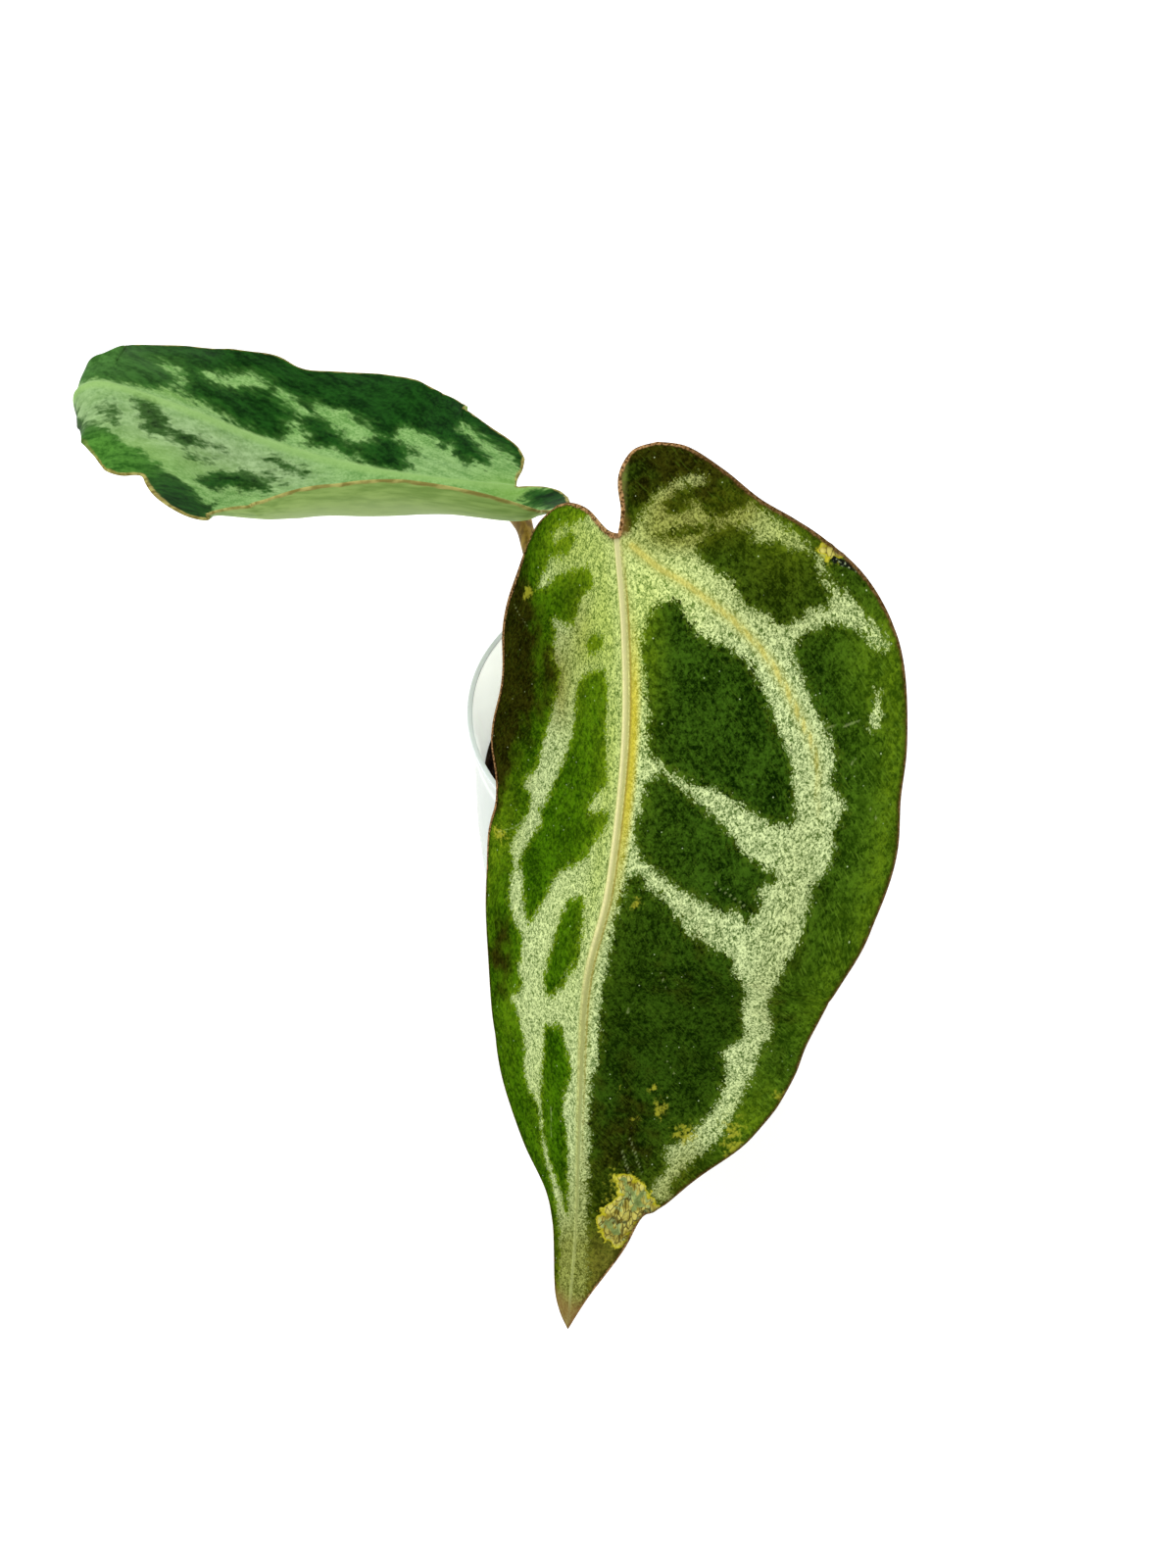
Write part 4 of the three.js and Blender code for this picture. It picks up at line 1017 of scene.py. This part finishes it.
def back_blade_material():
    s = BladeShade("soft_blade", Specular_IOR_Level=0.01, Roughness=0.42)
    flat, edge, rib, side, along = s.flat, s.edge, s.rib, s.side, s.along
    slanted = s.slanted(3.4, 1.5, 0.5)
    level = s.add(s.patch, s.wobble(slanted, 0.8, 1.5, 4), s.wobble(flat, 0.16, 1.2, 3),
                  s.wobble(flat, 0.7, 0.9, 4))
    green = s.step(level, -1.7, 1.7)
    cloud = s.add(s.times(s.noise(slanted, 0.5, 3), 0.55), s.times(s.noise(flat, 0.8, 4), 0.45))
    cloud = s.step(cloud, 0.34, 0.66)
    depth = s.mix(cloud, (0.001, 0.014, 0.0008), (0.009, 0.056, 0.005))
    depth = s.mix(s.value("tint_pale"), depth, s.mix(cloud, (0.03, 0.1, 0.015), (0.075, 0.2, 0.04)))
    outer_near = s.times(s.step(side, 14, 26), s.step(along, 92, 106))
    depth = s.over(depth, s.mix(cloud, (0.012, 0.07, 0.004), (0.068, 0.2, 0.025)), outer_near, 0.85)
    smoky = s.times(s.step(side, 1, 4), s.step(side, 22, 14), s.step(along, 50, 70))
    depth = s.over(depth, s.mix(cloud, (0.004, 0.014, 0.003), (0.04, 0.08, 0.024)), smoky, 0.8)
    powder = s.add(s.times(s.noise(slanted, 0.7, 4), 0.5), s.times(s.noise(flat, 1.3, 4), 0.5))
    silver = s.mix(s.step(powder, 0.34, 0.66), (0.08, 0.2, 0.04), (0.22, 0.38, 0.125))
    silver = s.over(silver, s.mix(cloud, (0.14, 0.22, 0.09), (0.31, 0.43, 0.22)),
                    s.value("tint_mint"), 0.85)
    silver = s.over(silver, (0.15, 0.29, 0.045), s.value("tint_lime"), 0.7)
    colour = s.mix(green, silver, depth)
    fringe = s.times(s.step(level, -0.8, 0.8), s.step(level, 4.5, 1.0))
    colour = s.over(colour, (0.07, 0.2, 0.03), fringe, 0.2)
    ribbed = s.step(rib, 2.6, 0.6)
    colour = s.over(colour, (0.24, 0.4, 0.12), ribbed, 0.6)
    worn = s.wobble(flat, 0.4, 0.3, 2)
    outer = s.times(s.step(s.add(edge, worn), 1.1, 0.4), s.step(along, 124, 112))
    tan = s.blend(s.noise(flat, 0.5, 2), (0.17, 0.13, 0.03), (0.36, 0.32, 0.1))
    colour = s.over(colour, tan, outer, 0.85)
    back = s.mix(s.step(s.noise(slanted, 0.8, 3), 0.3, 0.7), (0.15, 0.25, 0.055), (0.25, 0.37, 0.1))
    back = s.over(back, (0.32, 0.42, 0.17), s.step(edge, 3, 16), 0.6)
    back = s.over(back, (0.34, 0.44, 0.18), s.step(rib, 2.6, 1.2), 0.7)
    back = s.over(back, tan, outer, 0.85)
    colour = s.mix(s.under, colour, back)
    s.bump(s.add(s.times(s.noise(slanted, 1.5, 3), 0.6), s.times(green, 0.3)), 0.25, 0.3)
    return s.finish(colour)


front_leaf, back_leaf = Leaf(FRONT_LEAF), Leaf(BACK_LEAF)
build_blade("front", front_leaf, FRONT_MARKS, FRONT_TINTS, front_blade_material(), front_relief)
build_blade("back", back_leaf, BACK_MARKS, BACK_TINTS, back_blade_material(), back_relief)


# Pot: a turned shell with a rounded lip and six drain holes. Its curves are [radius, height].
POT_OUTSIDE = [
    (36, 0), (39.6, 0.9), (42.4, 3.6), (43.9, 8), (44.9, 16), (45.9, 32), (46.5, 52), (46.4, 74),
    (46.5, 90), (47.1, 99), (47.8, 104.8)]
POT_LIP = [(48, 105.3), (47.9, 105.8), (47.5, 106), (46.9, 106), (46.5, 105.7), (46.4, 105.2)]
POT_INSIDE = [
    (45.5, 99), (44.7, 90), (44, 74), (44, 52), (43.4, 32), (42.4, 16), (41.4, 8), (39.2, 4.6),
    (35, 3.2)]
POT_FLOOR = 3
POT_SIDES = 144
INNER_GLOW = 0.55
DRAIN = {"holes": 6, "radius": 3.5, "ring": 21, "sides": 32}


def turned(profile, sides):
    """Rings of corners: a profile of [radius, height] turned round the upright axis."""
    angle = np.linspace(0, 2 * math.pi, sides, endpoint=False)
    radius, height = np.array(profile, float).T[:, :, None]
    return np.stack([radius * np.cos(angle), radius * np.sin(angle), height + 0 * angle], -1)


def pot_material():
    s = Shade("glazed_white", Roughness=0.2, Specular_IOR_Level=0.5, Coat_Weight=0.25,
              Coat_Roughness=0.08)
    place = s.place()
    cloud = s.noise(place, 14, 3)
    white = s.blend(cloud, (0.46, 0.52, 0.47), (0.5, 0.56, 0.51))
    height = s.node("SeparateXYZ", {0: place}, 2)
    low = s.step(height, 0.03, 0.0)
    white = s.over(white, (0.5, 0.55, 0.54), low, 0.35)
    # The lip is painted lighter and bluer than the wall: painted light on the top of the lip.
    rim = s.step(height, 0.1025, 0.1058)
    white = s.over(white, (0.78, 0.84, 0.85), rim, 0.85)
    pits = s.step(s.cells(place, 260), 0.09, 0.05)
    white = s.over(white, (0.5, 0.5, 0.46), pits, 0.25)
    s.bump(s.add(s.noise(place, 60, 2), s.times(pits, -0.3)), 0.12, 0.25)

    # The wall's inner face above the mix is painted near white and glows: painted light, standing
    # in for daylight through the thin wall. The radius of the wall's middle, in metres at each
    # height, tells that face from the outer one.
    level_place = s.node("VectorMath", {0: place, 1: (1, 1, 0)}, operation="MULTIPLY")
    radius = s.node("VectorMath", {0: level_place}, 1, operation="LENGTH")
    middle = s.step(height, 0.074, 0.105, (0.0453, 0.0472))
    depth_in = s.math("SUBTRACT", middle, radius)
    glowing_inner_face = s.times(s.step(depth_in, -0.0001, 0.0002), s.step(height, 0.1057, 0.1048),
                         s.step(height, 0.066, 0.07))
    white = s.mix(glowing_inner_face, white, (0.9, 0.94, 0.89))
    s.surface.inputs["Emission Color"].default_value = (0.95, 1.0, 0.93, 1)
    s.feed(s.surface.inputs["Emission Strength"], s.times(glowing_inner_face, INNER_GLOW))
    return s.finish(white)


def drain_cutter():
    """One post through the floor for each drain hole."""
    low, high = -POT_FLOOR, 2 * POT_FLOOR
    rings = turned([(DRAIN["radius"], low), (DRAIN["radius"], high)], DRAIN["sides"])
    post, post_faces = closed_body(rings, (0, 0, low), (0, 0, high))
    corners, faces = [], []
    for i in range(DRAIN["holes"]):
        angle = 2 * math.pi * i / DRAIN["holes"]
        shift = (DRAIN["ring"] * math.cos(angle), DRAIN["ring"] * math.sin(angle), 0)
        faces.extend([tuple(v + len(corners) for v in face) for face in post_faces])
        corners.extend((post + shift).tolist())
    mesh = bpy.data.meshes.new("drain_cutter")
    mesh.from_pydata((np.array(corners) * MM).tolist(), [], faces)
    return add_object("drain_cutter", mesh)


def build_pot():
    outside = spline(POT_OUTSIDE, even=True, per_span=5)
    lip = spline([POT_OUTSIDE[-1], *POT_LIP, POT_INSIDE[0]], even=True, per_span=4)[1:-1]
    inside = spline(POT_INSIDE, even=True, per_span=5)
    rings = turned(np.vstack([outside, lip, inside]), POT_SIDES)
    corners, faces = closed_body(rings, (0, 0, 0), (0, 0, POT_FLOOR))
    shell = add_piece("pot_glazed", corners, faces, pot_material(), ("pot",))
    cutter = drain_cutter()
    cut = shell.modifiers.new("drain", "BOOLEAN")
    cut.operation = "DIFFERENCE"
    cut.solver = "EXACT"
    cut.object = cutter
    apply_modifiers(shell)
    bpy.data.objects.remove(cutter)


def apply_modifiers(piece):
    graph = bpy.context.evaluated_depsgraph_get()
    graph.update()
    made = bpy.data.meshes.new_from_object(piece.evaluated_get(graph))
    piece.modifiers.clear()
    piece.data = made


build_pot()


# Potting mix: a lumpy body with loose bark, pumice and charcoal on it

MIX_TOP = 77
MIX_FOOT = POT_FLOOR + 0.3
MIX_RADIUS = 43.7
MIX_WALL = [
    (34.5, MIX_FOOT), (38.4, MIX_FOOT + 1.9), (41.1, 8), (42.1, 16), (43.1, 32), (43.6, 52),
    (43.7, 70)]
MIX_RINGS, MIX_SIDES = 110, 200
MIX_HOLLOW = {"x": -44, "y": 3, "reach": 17, "depth": 17}
MIX_GRAIN = 420      # grains to a metre

# The stem is given here, as the chips lie clear of it
STEM = {"foot": 58, "top": 100, "radius": 7, "x": 0, "y": 1, "lean": (0.8, -0.4),
        "scars": 6, "scar": 0.55, "groove": 0.3}

# Each kind of chip: its dark, light and brightest colour, and how fine its grain is
CHIP_LOOKS = {
    "pine_bark": ((0.05, 0.024, 0.012), (0.2, 0.105, 0.05), (0.34, 0.22, 0.12), 260),
    "pumice_stone": ((0.3, 0.28, 0.24), (0.62, 0.59, 0.52), (0.75, 0.72, 0.66), 500),
    "charcoal": ((0.006, 0.006, 0.007), (0.03, 0.03, 0.032), (0.07, 0.07, 0.07), 300),
}
# Each scatter of chips: its looks and seed, how many are drawn, their least and greatest size,
# the corners of a chip, how square it is, how much of its height its middle is raised by, how far
# from the axis it may lie, and how much its edges are rounded
CHIPS = {
    "bark_chips": ("pine_bark", 11, 210, (6, 4, 2), (13, 9, 5), 14, 6, 0.18, 40, 0.35),
    "bark_crumbs": ("pine_bark", 12, 330, (2, 1.5, 1), (4.5, 3, 2), 10, 4, 0.25, 42.5, 0.15),
    "pumice_bits": ("pumice_stone", 13, 90, (2.2, 2, 1.8), (6, 5, 4), 22, 2, 0.3, 41, 0.3),
    "charcoal_bits": ("charcoal", 14, 50, (3, 2.5, 2), (8, 6, 5), 12, 3, 0.25, 40, 0.2),
}
CHIP_GAP = 0.4       # between a chip and the wall
CHIP_TURNS = [(-0.45, 0.45), (-0.45, 0.45), (0, 6.28)]   # tilt, roll and spin in radians


def mix_height(x, y):
    """The top of the mix: lumps, a low dome, and a hollow beside the wall."""
    lumps = np.sin(0.41 * x + 1.3) * np.cos(0.37 * y) + 0.8 * np.sin(0.23 * y - 0.31 * x)
    inward = 1 - np.hypot(x, y) / MIX_RADIUS
    coarse = 1.1 * lumps * np.minimum(1, 6 * inward) + 1.4 * inward
    fine = 0.5 * wavy_sum(x, y, 3, 40, 2.2, 6) + 0.22 * wavy_sum(x, y, 4, 40, 0.9, 2)
    off = np.hypot(x - MIX_HOLLOW["x"], y - MIX_HOLLOW["y"])
    hollow = swell(off, MIX_HOLLOW["depth"], MIX_HOLLOW["reach"])
    return MIX_TOP + coarse - hollow + fine * np.minimum(1, 12 * inward + 0.2)


def mix_material():
    s = Shade("dark_mix", Roughness=0.95, Specular_IOR_Level=0.15)
    place = s.place()
    tone = s.crumbs(place, MIX_GRAIN)
    brown = s.mix(tone, (0.018, 0.011, 0.006), (0.11, 0.065, 0.035))
    damp = s.step(s.noise(place, 45, 3), 0.4, 0.6)
    brown = s.over(brown, (0.03, 0.02, 0.012), damp, 0.5)
    flecks = s.step(s.cells(place, 190), 0.16, 0.08)
    brown = s.over(brown, (0.3, 0.26, 0.2), flecks, 0.6)
    s.bump(s.add(s.times(s.cells(place, MIX_GRAIN), 1.2), s.noise(place, 900, 3)), 0.9, 0.9)
    return s.finish(brown)


def chip_material(name, low, high, bright, coarse):
    s = Shade(name, Roughness=0.9, Specular_IOR_Level=0.2)
    place = s.place()
    tint = s.value("tint")
    layers = s.noise(s.stretch(place, (coarse, coarse * 0.35, coarse)), 1.0, 4, 0.6)
    colour = s.mix(s.step(layers, 0.35, 0.68), low, high)
    colour = s.over(colour, bright, s.step(s.noise(place, 900, 2), 0.56, 0.7), 0.6)
    colour = s.scale(colour, s.step(tint, 0.0, 1.0, (0.55, 1.35)))
    s.bump(s.add(layers, s.times(s.noise(place, 1400, 2), 0.5)), 0.6, 0.8)
    return s.finish(colour)


def hull(points):
    """Corners and faces of the convex hull of a few points."""
    work = bmesh.new()
    for p in points:
        work.verts.new(p)
    made = bmesh.ops.convex_hull(work, input=work.verts, use_existing_faces=False)
    loose = [v for v in made["geom_interior"] if isinstance(v, bmesh.types.BMVert)]
    bmesh.ops.delete(work, geom=list({*loose, *[v for v in work.verts if not v.link_faces]}),
                     context="VERTS")
    bmesh.ops.recalc_face_normals(work, faces=work.faces)
    work.verts.index_update()
    corners = [tuple(v.co) for v in work.verts]
    faces = [tuple(v.index for v in face.verts) for face in work.faces]
    work.free()
    return corners, faces


def scatter_chips(name, material, seed, count, least, most, points, boxy, sink, reach, rounding):
    """Loose angular lumps that lie half sunk in the mix, as one piece."""
    random = np.random.default_rng(seed)
    corners, faces, tints = [], [], []
    for _ in range(count):
        size = np.array(least) + (np.array(most) - np.array(least)) * random.random(3) ** 1.3
        shape = random.uniform(-1, 1, (points, 3))
        shape /= np.linalg.norm(shape, ord=boxy, axis=1)[:, None]
        shape *= size / 2 * random.uniform(0.85, 1.0, (points, 1))
        out = reach * math.sqrt(random.random())
        bearing = random.uniform(0, 2 * math.pi)
        x, y = out * math.cos(bearing), out * math.sin(bearing)
        tilt, roll, spin = (random.uniform(*span) for span in CHIP_TURNS)
        tint = random.random()
        near_stem = math.hypot(x - STEM["x"], y - STEM["y"]) < STEM["radius"] + size.max() / 2
        if near_stem or out + size[:2].max() / 2 > MIX_RADIUS - CHIP_GAP:
            continue
        turn = np.array(Matrix.Rotation(spin, 3, "Z") @ Matrix.Rotation(tilt, 3, "Y")
                        @ Matrix.Rotation(roll, 3, "X"))
        z = float(mix_height(np.array(x), np.array(y))) + size[2] * sink
        c, f = hull((shape @ turn.T + (x, y, z)).tolist())
        start = len(corners)
        corners.extend(c)
        faces.extend([tuple(v + start for v in face) for face in f])
        tints.extend([tint] * len(c))
    piece = add_piece(name, corners, faces, material, ("potting_mix",), {"tint": tints},
                      smooth_shade=False)
    round_edges = piece.modifiers.new("round", "BEVEL")
    round_edges.width = rounding * MM
    round_edges.segments = 2
    round_edges.limit_method = "ANGLE"
    round_edges.angle_limit = math.radians(20)
    apply_modifiers(piece)
    piece.data.shade_smooth()
    return piece


def build_mix():
    radii = MIX_RADIUS * np.linspace(0, 1, MIX_RINGS + 1)[1:]
    angle = np.linspace(0, 2 * math.pi, MIX_SIDES, endpoint=False)
    x = radii[::-1, None] * np.cos(angle)
    y = radii[::-1, None] * np.sin(angle)
    rings = np.vstack([turned(MIX_WALL, MIX_SIDES), np.stack([x, y, mix_height(x, y)], -1)])
    peak = float(mix_height(0.0, 0.0))
    corners, faces = closed_body(rings, (0, 0, MIX_FOOT), (0, 0, peak))
    add_piece("mix_body", corners, faces, mix_material(), ("potting_mix",))
    looks = {name: chip_material(name, *row) for name, row in CHIP_LOOKS.items()}
    for name, (look, *row) in CHIPS.items():
        scatter_chips(name, looks[look], *row)


build_mix()


# Stem, roots, stalks, sheaths and the new spike

def stem_material():
    s = Shade("ringed_stem", Roughness=0.75, Specular_IOR_Level=0.25)
    place = s.place()
    climb = s.value("climb")
    fibre = s.noise(s.stretch(place, (900, 900, 160)), 1.0, 4, 0.6)
    colour = s.blend(fibre, (0.07, 0.055, 0.02), (0.2, 0.18, 0.06))
    green = s.times(s.step(s.noise(place, 70, 2), 0.4, 0.6), s.step(climb, 20, 38))
    colour = s.over(colour, (0.1, 0.15, 0.035), green, 0.6)
    scar = s.step(s.value("scar"), 0.55, 0.95)
    colour = s.over(colour, (0.24, 0.17, 0.09), scar, 0.7)
    groove = s.step(s.value("scar"), 0.12, 0.02)
    colour = s.over(colour, (0.03, 0.02, 0.01), groove, 0.8)
    s.bump(fibre, 0.5, 0.7)
    return s.finish(colour)


def root_material():
    s = Shade("root_skin", Roughness=0.85, Specular_IOR_Level=0.2)
    place = s.place()
    skin = s.noise(s.stretch(place, (300, 300, 500)), 1.0, 4, 0.6)
    colour = s.blend(skin, (0.22, 0.16, 0.09), (0.5, 0.43, 0.3))
    colour = s.over(colour, (0.2, 0.2, 0.08), s.step(s.value("climb"), 12, 2), 0.5)
    s.bump(skin, 0.4, 0.7)
    return s.finish(colour)


def petiole_material():
    s = Shade("stalk_skin", Roughness=0.45, Specular_IOR_Level=0.2)
    along = s.value("climb")
    place = s.place()
    streaks = s.noise(s.stretch(place, (700, 700, 60)), 1.0, 3, 0.55)
    colour = s.blend(streaks, (0.15, 0.075, 0.005), (0.36, 0.215, 0.02))
    green = s.step(s.add(along, s.wobble(place, 60, 12)), 20, 70)
    greenish = s.blend(streaks, (0.16, 0.11, 0.008), (0.36, 0.25, 0.03))
    colour = s.over(colour, greenish, green, 0.5)
    dots = s.step(s.cells(place, 480), 0.14, 0.08)
    colour = s.over(colour, (0.42, 0.34, 0.16), dots, 0.35)
    foot = s.step(along, 22, 4)
    colour = s.over(colour, (0.1, 0.06, 0.025), foot, 0.6)
    joint = s.step(s.value("end"), 15, 4)
    colour = s.over(colour, (0.26, 0.13, 0.06), joint, 0.55)
    s.bump(s.add(streaks, s.times(dots, 0.4)), 0.2, 0.6)
    return s.finish(colour)


def sheath_material():
    s = Shade("papery_sheath", Roughness=0.85, Specular_IOR_Level=0.15)
    flat = s.vector("flat")
    fibre = s.noise(s.stretch(flat, (0.35, 5.5, 1)), 1.0, 4, 0.65)
    colour = s.mix(s.step(fibre, 0.32, 0.68), (0.1, 0.05, 0.02), (0.42, 0.27, 0.13))
    torn = s.step(s.noise(flat, 0.35, 3), 0.52, 0.68)
    colour = s.over(colour, (0.05, 0.028, 0.014), torn, 0.6)
    colour = s.over(colour, (0.46, 0.34, 0.2), s.step(s.value("rim"), 1.2, 0.1), 0.6)
    s.bump(fibre, 0.5, 0.8)
    return s.finish(colour)


def bud_material():
    s = Shade("new_spike", Roughness=0.45, Specular_IOR_Level=0.3)
    climb = s.value("climb")
    place = s.place()
    lines = s.noise(s.stretch(place, (800, 800, 90)), 1.0, 3)
    colour = s.blend(lines, (0.14, 0.17, 0.035), (0.32, 0.34, 0.1))
    rosy = s.step(s.add(climb, s.wobble(place, 90, 4)), 14, 34)
    colour = s.over(colour, (0.3, 0.14, 0.07), rosy, 0.6)
    s.bump(lines, 0.2, 0.5)
    return s.finish(colour)


def build_stem():
    x, y, (lean_x, lean_y) = STEM["x"], STEM["y"], STEM["lean"]
    middle = (STEM["foot"] + STEM["top"]) / 2
    path = Path([(x, y, STEM["foot"]), (x + lean_x, y + lean_y, middle), (x, y, STEM["top"])])

    # Ring scars with a groove under each, a domed top, a narrower foot and fine ribs
    def radius(share, angle):
        tilt = share + 0.012 * np.cos(angle + 5 * share)
        cycle = (tilt * STEM["scars"]) % 1
        scar = STEM["scar"] * (1 - cycle) ** 3 - swell(cycle - 0.93, STEM["groove"], 0.05)
        dome = np.clip((share - 0.86) / 0.14, 0, 0.985)
        foot = np.minimum(1, 0.75 + share * 4)
        ribs = 0.1 * np.cos(9 * angle + 8 * share) + 0.08 * np.cos(23 * angle)
        return (STEM["radius"] + scar + ribs) * np.sqrt(1 - dome ** 2) * foot

    corners, faces, fields = tube(path, radius, 72, 220)
    fields["scar"] = 1 - (fields["climb"] / path.length * STEM["scars"]) % 1
    add_piece("stem_ringed", corners, faces, stem_material(), ("stem",), fields)


ROOT_BEARINGS = [20, 78, 196, 322]
ROOT_ARCH = [(4, 83), (11, 84.5), (17, 82), (21, 74), (22.2, 58)]   # [out from the stem, height]
ROOT_THICK, ROOT_THIN = 2.4, 1.7


def build_roots():
    material = root_material()
    for i, bearing in enumerate(ROOT_BEARINGS):
        angle = math.radians(bearing)
        path = Path([(STEM["x"] + out * math.cos(angle), STEM["y"] + out * math.sin(angle), z)
                     for out, z in ROOT_ARCH])

        def radius(share, turn, i=i):
            bumps = 0.12 * np.sin(31 * share + 2 * turn + i) + 0.1 * np.sin(57 * share - turn)
            return ROOT_THICK + (ROOT_THIN - ROOT_THICK) * share + bumps

        corners, faces, fields = tube(path, radius, 24, 90)
        node = f"root_{i + 1}"
        add_piece(node + "_skin", corners, faces, material, (node,), fields)


PETIOLE = {"base": 3.6, "radius": 2.4, "fade": 22, "joint": 3.1, "joint_length": 13,
           "taper": 0.72, "taper_length": 12, "groove": 0.07, "ring": 0.05}
# How the stalk runs on under the blade: [along the midrib, below it]
PETIOLE_END = [(2.5, 4.4), (8, 3.1), (14, 2.0)]


def stalk_path(leaf):
    return Path([*leaf.form["stalk"], leaf.form["midrib"][0]])


def stalk_radius(distance, length):
    """Thick at the foot, and again in the joint under the blade."""
    foot = (PETIOLE["base"] - PETIOLE["radius"]) * np.exp(-distance / PETIOLE["fade"])
    start = length - PETIOLE["joint_length"]
    joint = smooth(distance, start, start + PETIOLE["joint_length"] / 2)
    return PETIOLE["radius"] + foot + joint * (PETIOLE["joint"] - PETIOLE["radius"])


def build_petiole(name, leaf, material):
    """A stalk with a shallow groove and a swollen joint that turns under the blade's ridge."""
    to_blade = stalk_path(leaf).length
    under = []
    for along, drop in PETIOLE_END:
        _, centre, _, _, normal = leaf.frame(np.array([along]))
        facing = math.copysign(1, normal[0][2])
        under.append(tuple(centre[0] - facing * drop * normal[0]))
    path = Path([*leaf.form["stalk"], *under])
    straight = path.length - PETIOLE["taper_length"]

    def radius(share, turn):
        distance = share * path.length
        taper = 1 - PETIOLE["taper"] * smooth(distance, straight, path.length)
        groove = 1 - swell(turn - math.pi, PETIOLE["groove"], 0.5)
        ringed = smooth(distance, straight - 12, straight - 2)   # just before the taper
        rings = PETIOLE["ring"] * np.sin(distance * 2.4) * ringed
        return stalk_radius(distance, to_blade) * taper * groove + rings

    corners, faces, fields = tube(path, radius, 32, 200)
    fields["end"] = np.abs(to_blade - fields["climb"])
    node = f"petiole_{name}"
    add_piece(node + "_skin", corners, faces, material, (node,), fields)


SHEATH = {"thickness": 0.7, "clear": 0.5, "flare": 0.07, "wrap": 112, "least": 3, "fray": 5,
          "ripple": 0.25, "rows": 90, "columns": 61}


def build_sheath(name, leaf, material, seed):
    """A papery sheath round a stalk's foot, split down the inner side, with a torn edge."""
    start, length = leaf.form["sheath"]
    path = stalk_path(leaf)
    climb = np.linspace(0, 1, SHEATH["rows"])
    across = np.linspace(-1, 1, SHEATH["columns"])
    distance = start + climb * length
    centre, tangent = path.at(distance), path.tangent(distance)
    outward = path.at(np.array([start + length]))[0] - (STEM["x"], STEM["y"], 0)
    outward[2] = 0
    outward = unit(outward - tangent * (tangent @ outward)[:, None])
    aside = np.cross(tangent, outward)

    # How far it wraps round each way, in degrees, and its radius
    fray = wavy_sum(climb[:, None] * length, np.array([[0.0, 40.0]]), seed, 30, 2.5, 9)
    wrap = SHEATH["wrap"] * (1 - climb ** 2.2) + SHEATH["least"]
    left, right = (wrap + SHEATH["fray"] * edge for edge in fray.T)
    reach = np.where(across[None] < 0, left[:, None], right[:, None])
    angle = np.radians(np.maximum(reach, 2) * across)
    ripple = wavy_sum(distance[:, None] * 0.5, across[None] * 18, seed + 1, 30, 3, 9)
    ripple = SHEATH["ripple"] * ripple * climb[:, None] ** 0.5
    half = SHEATH["thickness"] / 2
    radius = stalk_radius(distance, path.length) + SHEATH["clear"] + half
    radius = radius[:, None] + SHEATH["flare"] * climb[:, None] * length + ripple
    middle = (centre[:, None] + outward[:, None] * (radius * np.cos(angle))[..., None]
              + aside[:, None] * (radius * np.sin(angle))[..., None])

    normal = grid_normals(middle)
    corners = np.vstack([(middle + side * half * normal).reshape(-1, 3) for side in (1, -1)])
    count = angle.size
    faces = sheet_faces(np.arange(count).reshape(angle.shape), count, flip=True)
    flat = np.stack([distance[:, None] + 0 * angle, angle * radius, 0 * angle + seed], -1)
    edge_gap = np.minimum((1 - np.abs(across))[None] * reach * 0.07, (1 - climb)[:, None] * length)
    fields = {"flat": np.vstack([flat.reshape(-1, 3)] * 2), "rim": np.tile(edge_gap.ravel(), 2)}
    node = f"cataphyll_{name}"
    add_piece(node + "_paper", corners, faces, material, (node,), fields)


SPIKE_LINE = [(STEM["x"], STEM["y"], 90), (2.5, 2.5, 103), (5, 3.5, 114), (6.5, 4, 127)]
SPIKE_RADIUS, SPIKE_TIP = 3.4, 0.35


def build_spike():
    path = Path(SPIKE_LINE)

    def radius(share, turn):
        fold = 1 + 0.06 * np.cos(turn - 3 * share) - swell(turn - 2.4 - share, 0.12, 0.18)
        return (SPIKE_RADIUS * (1 - share ** 2.4) + SPIKE_TIP) * fold

    corners, faces, fields = tube(path, radius, 40, 120)
    add_piece("spike_rolled", corners, faces, bud_material(), ("bud",), fields)


build_stem()
build_roots()
stalk_skin, paper = petiole_material(), sheath_material()
for leaf_name, leaf, seed in (("front", front_leaf, 21), ("back", back_leaf, 31)):
    build_petiole(leaf_name, leaf, stalk_skin)
    build_sheath(leaf_name, leaf, paper, seed)
build_spike()


# Floor: lit a little from below, so that the shadow on it stays faint
FLOOR_GLOW = 0.2
FLOOR_REACH = 6.0   # in metres


def add_floor():
    s = Shade("floor_paint", Roughness=0.9, Specular_IOR_Level=0.0)
    s.surface.inputs["Emission Color"].default_value = (1, 1, 1, 1)
    s.surface.inputs["Emission Strength"].default_value = FLOOR_GLOW
    s.finish(s.mix(s.noise(s.place(), 3.0), (0.87, 0.87, 0.87), (0.89, 0.89, 0.89)))
    mesh = bpy.data.meshes.new("floor")
    square = ((-1, -1), (1, -1), (1, 1), (-1, 1))
    mesh.from_pydata([(x * FLOOR_REACH, y * FLOOR_REACH, 0) for x, y in square], [], [(0, 1, 2, 3)])
    mesh.materials.append(s.material)
    floor = add_object("floor", mesh)


add_floor()
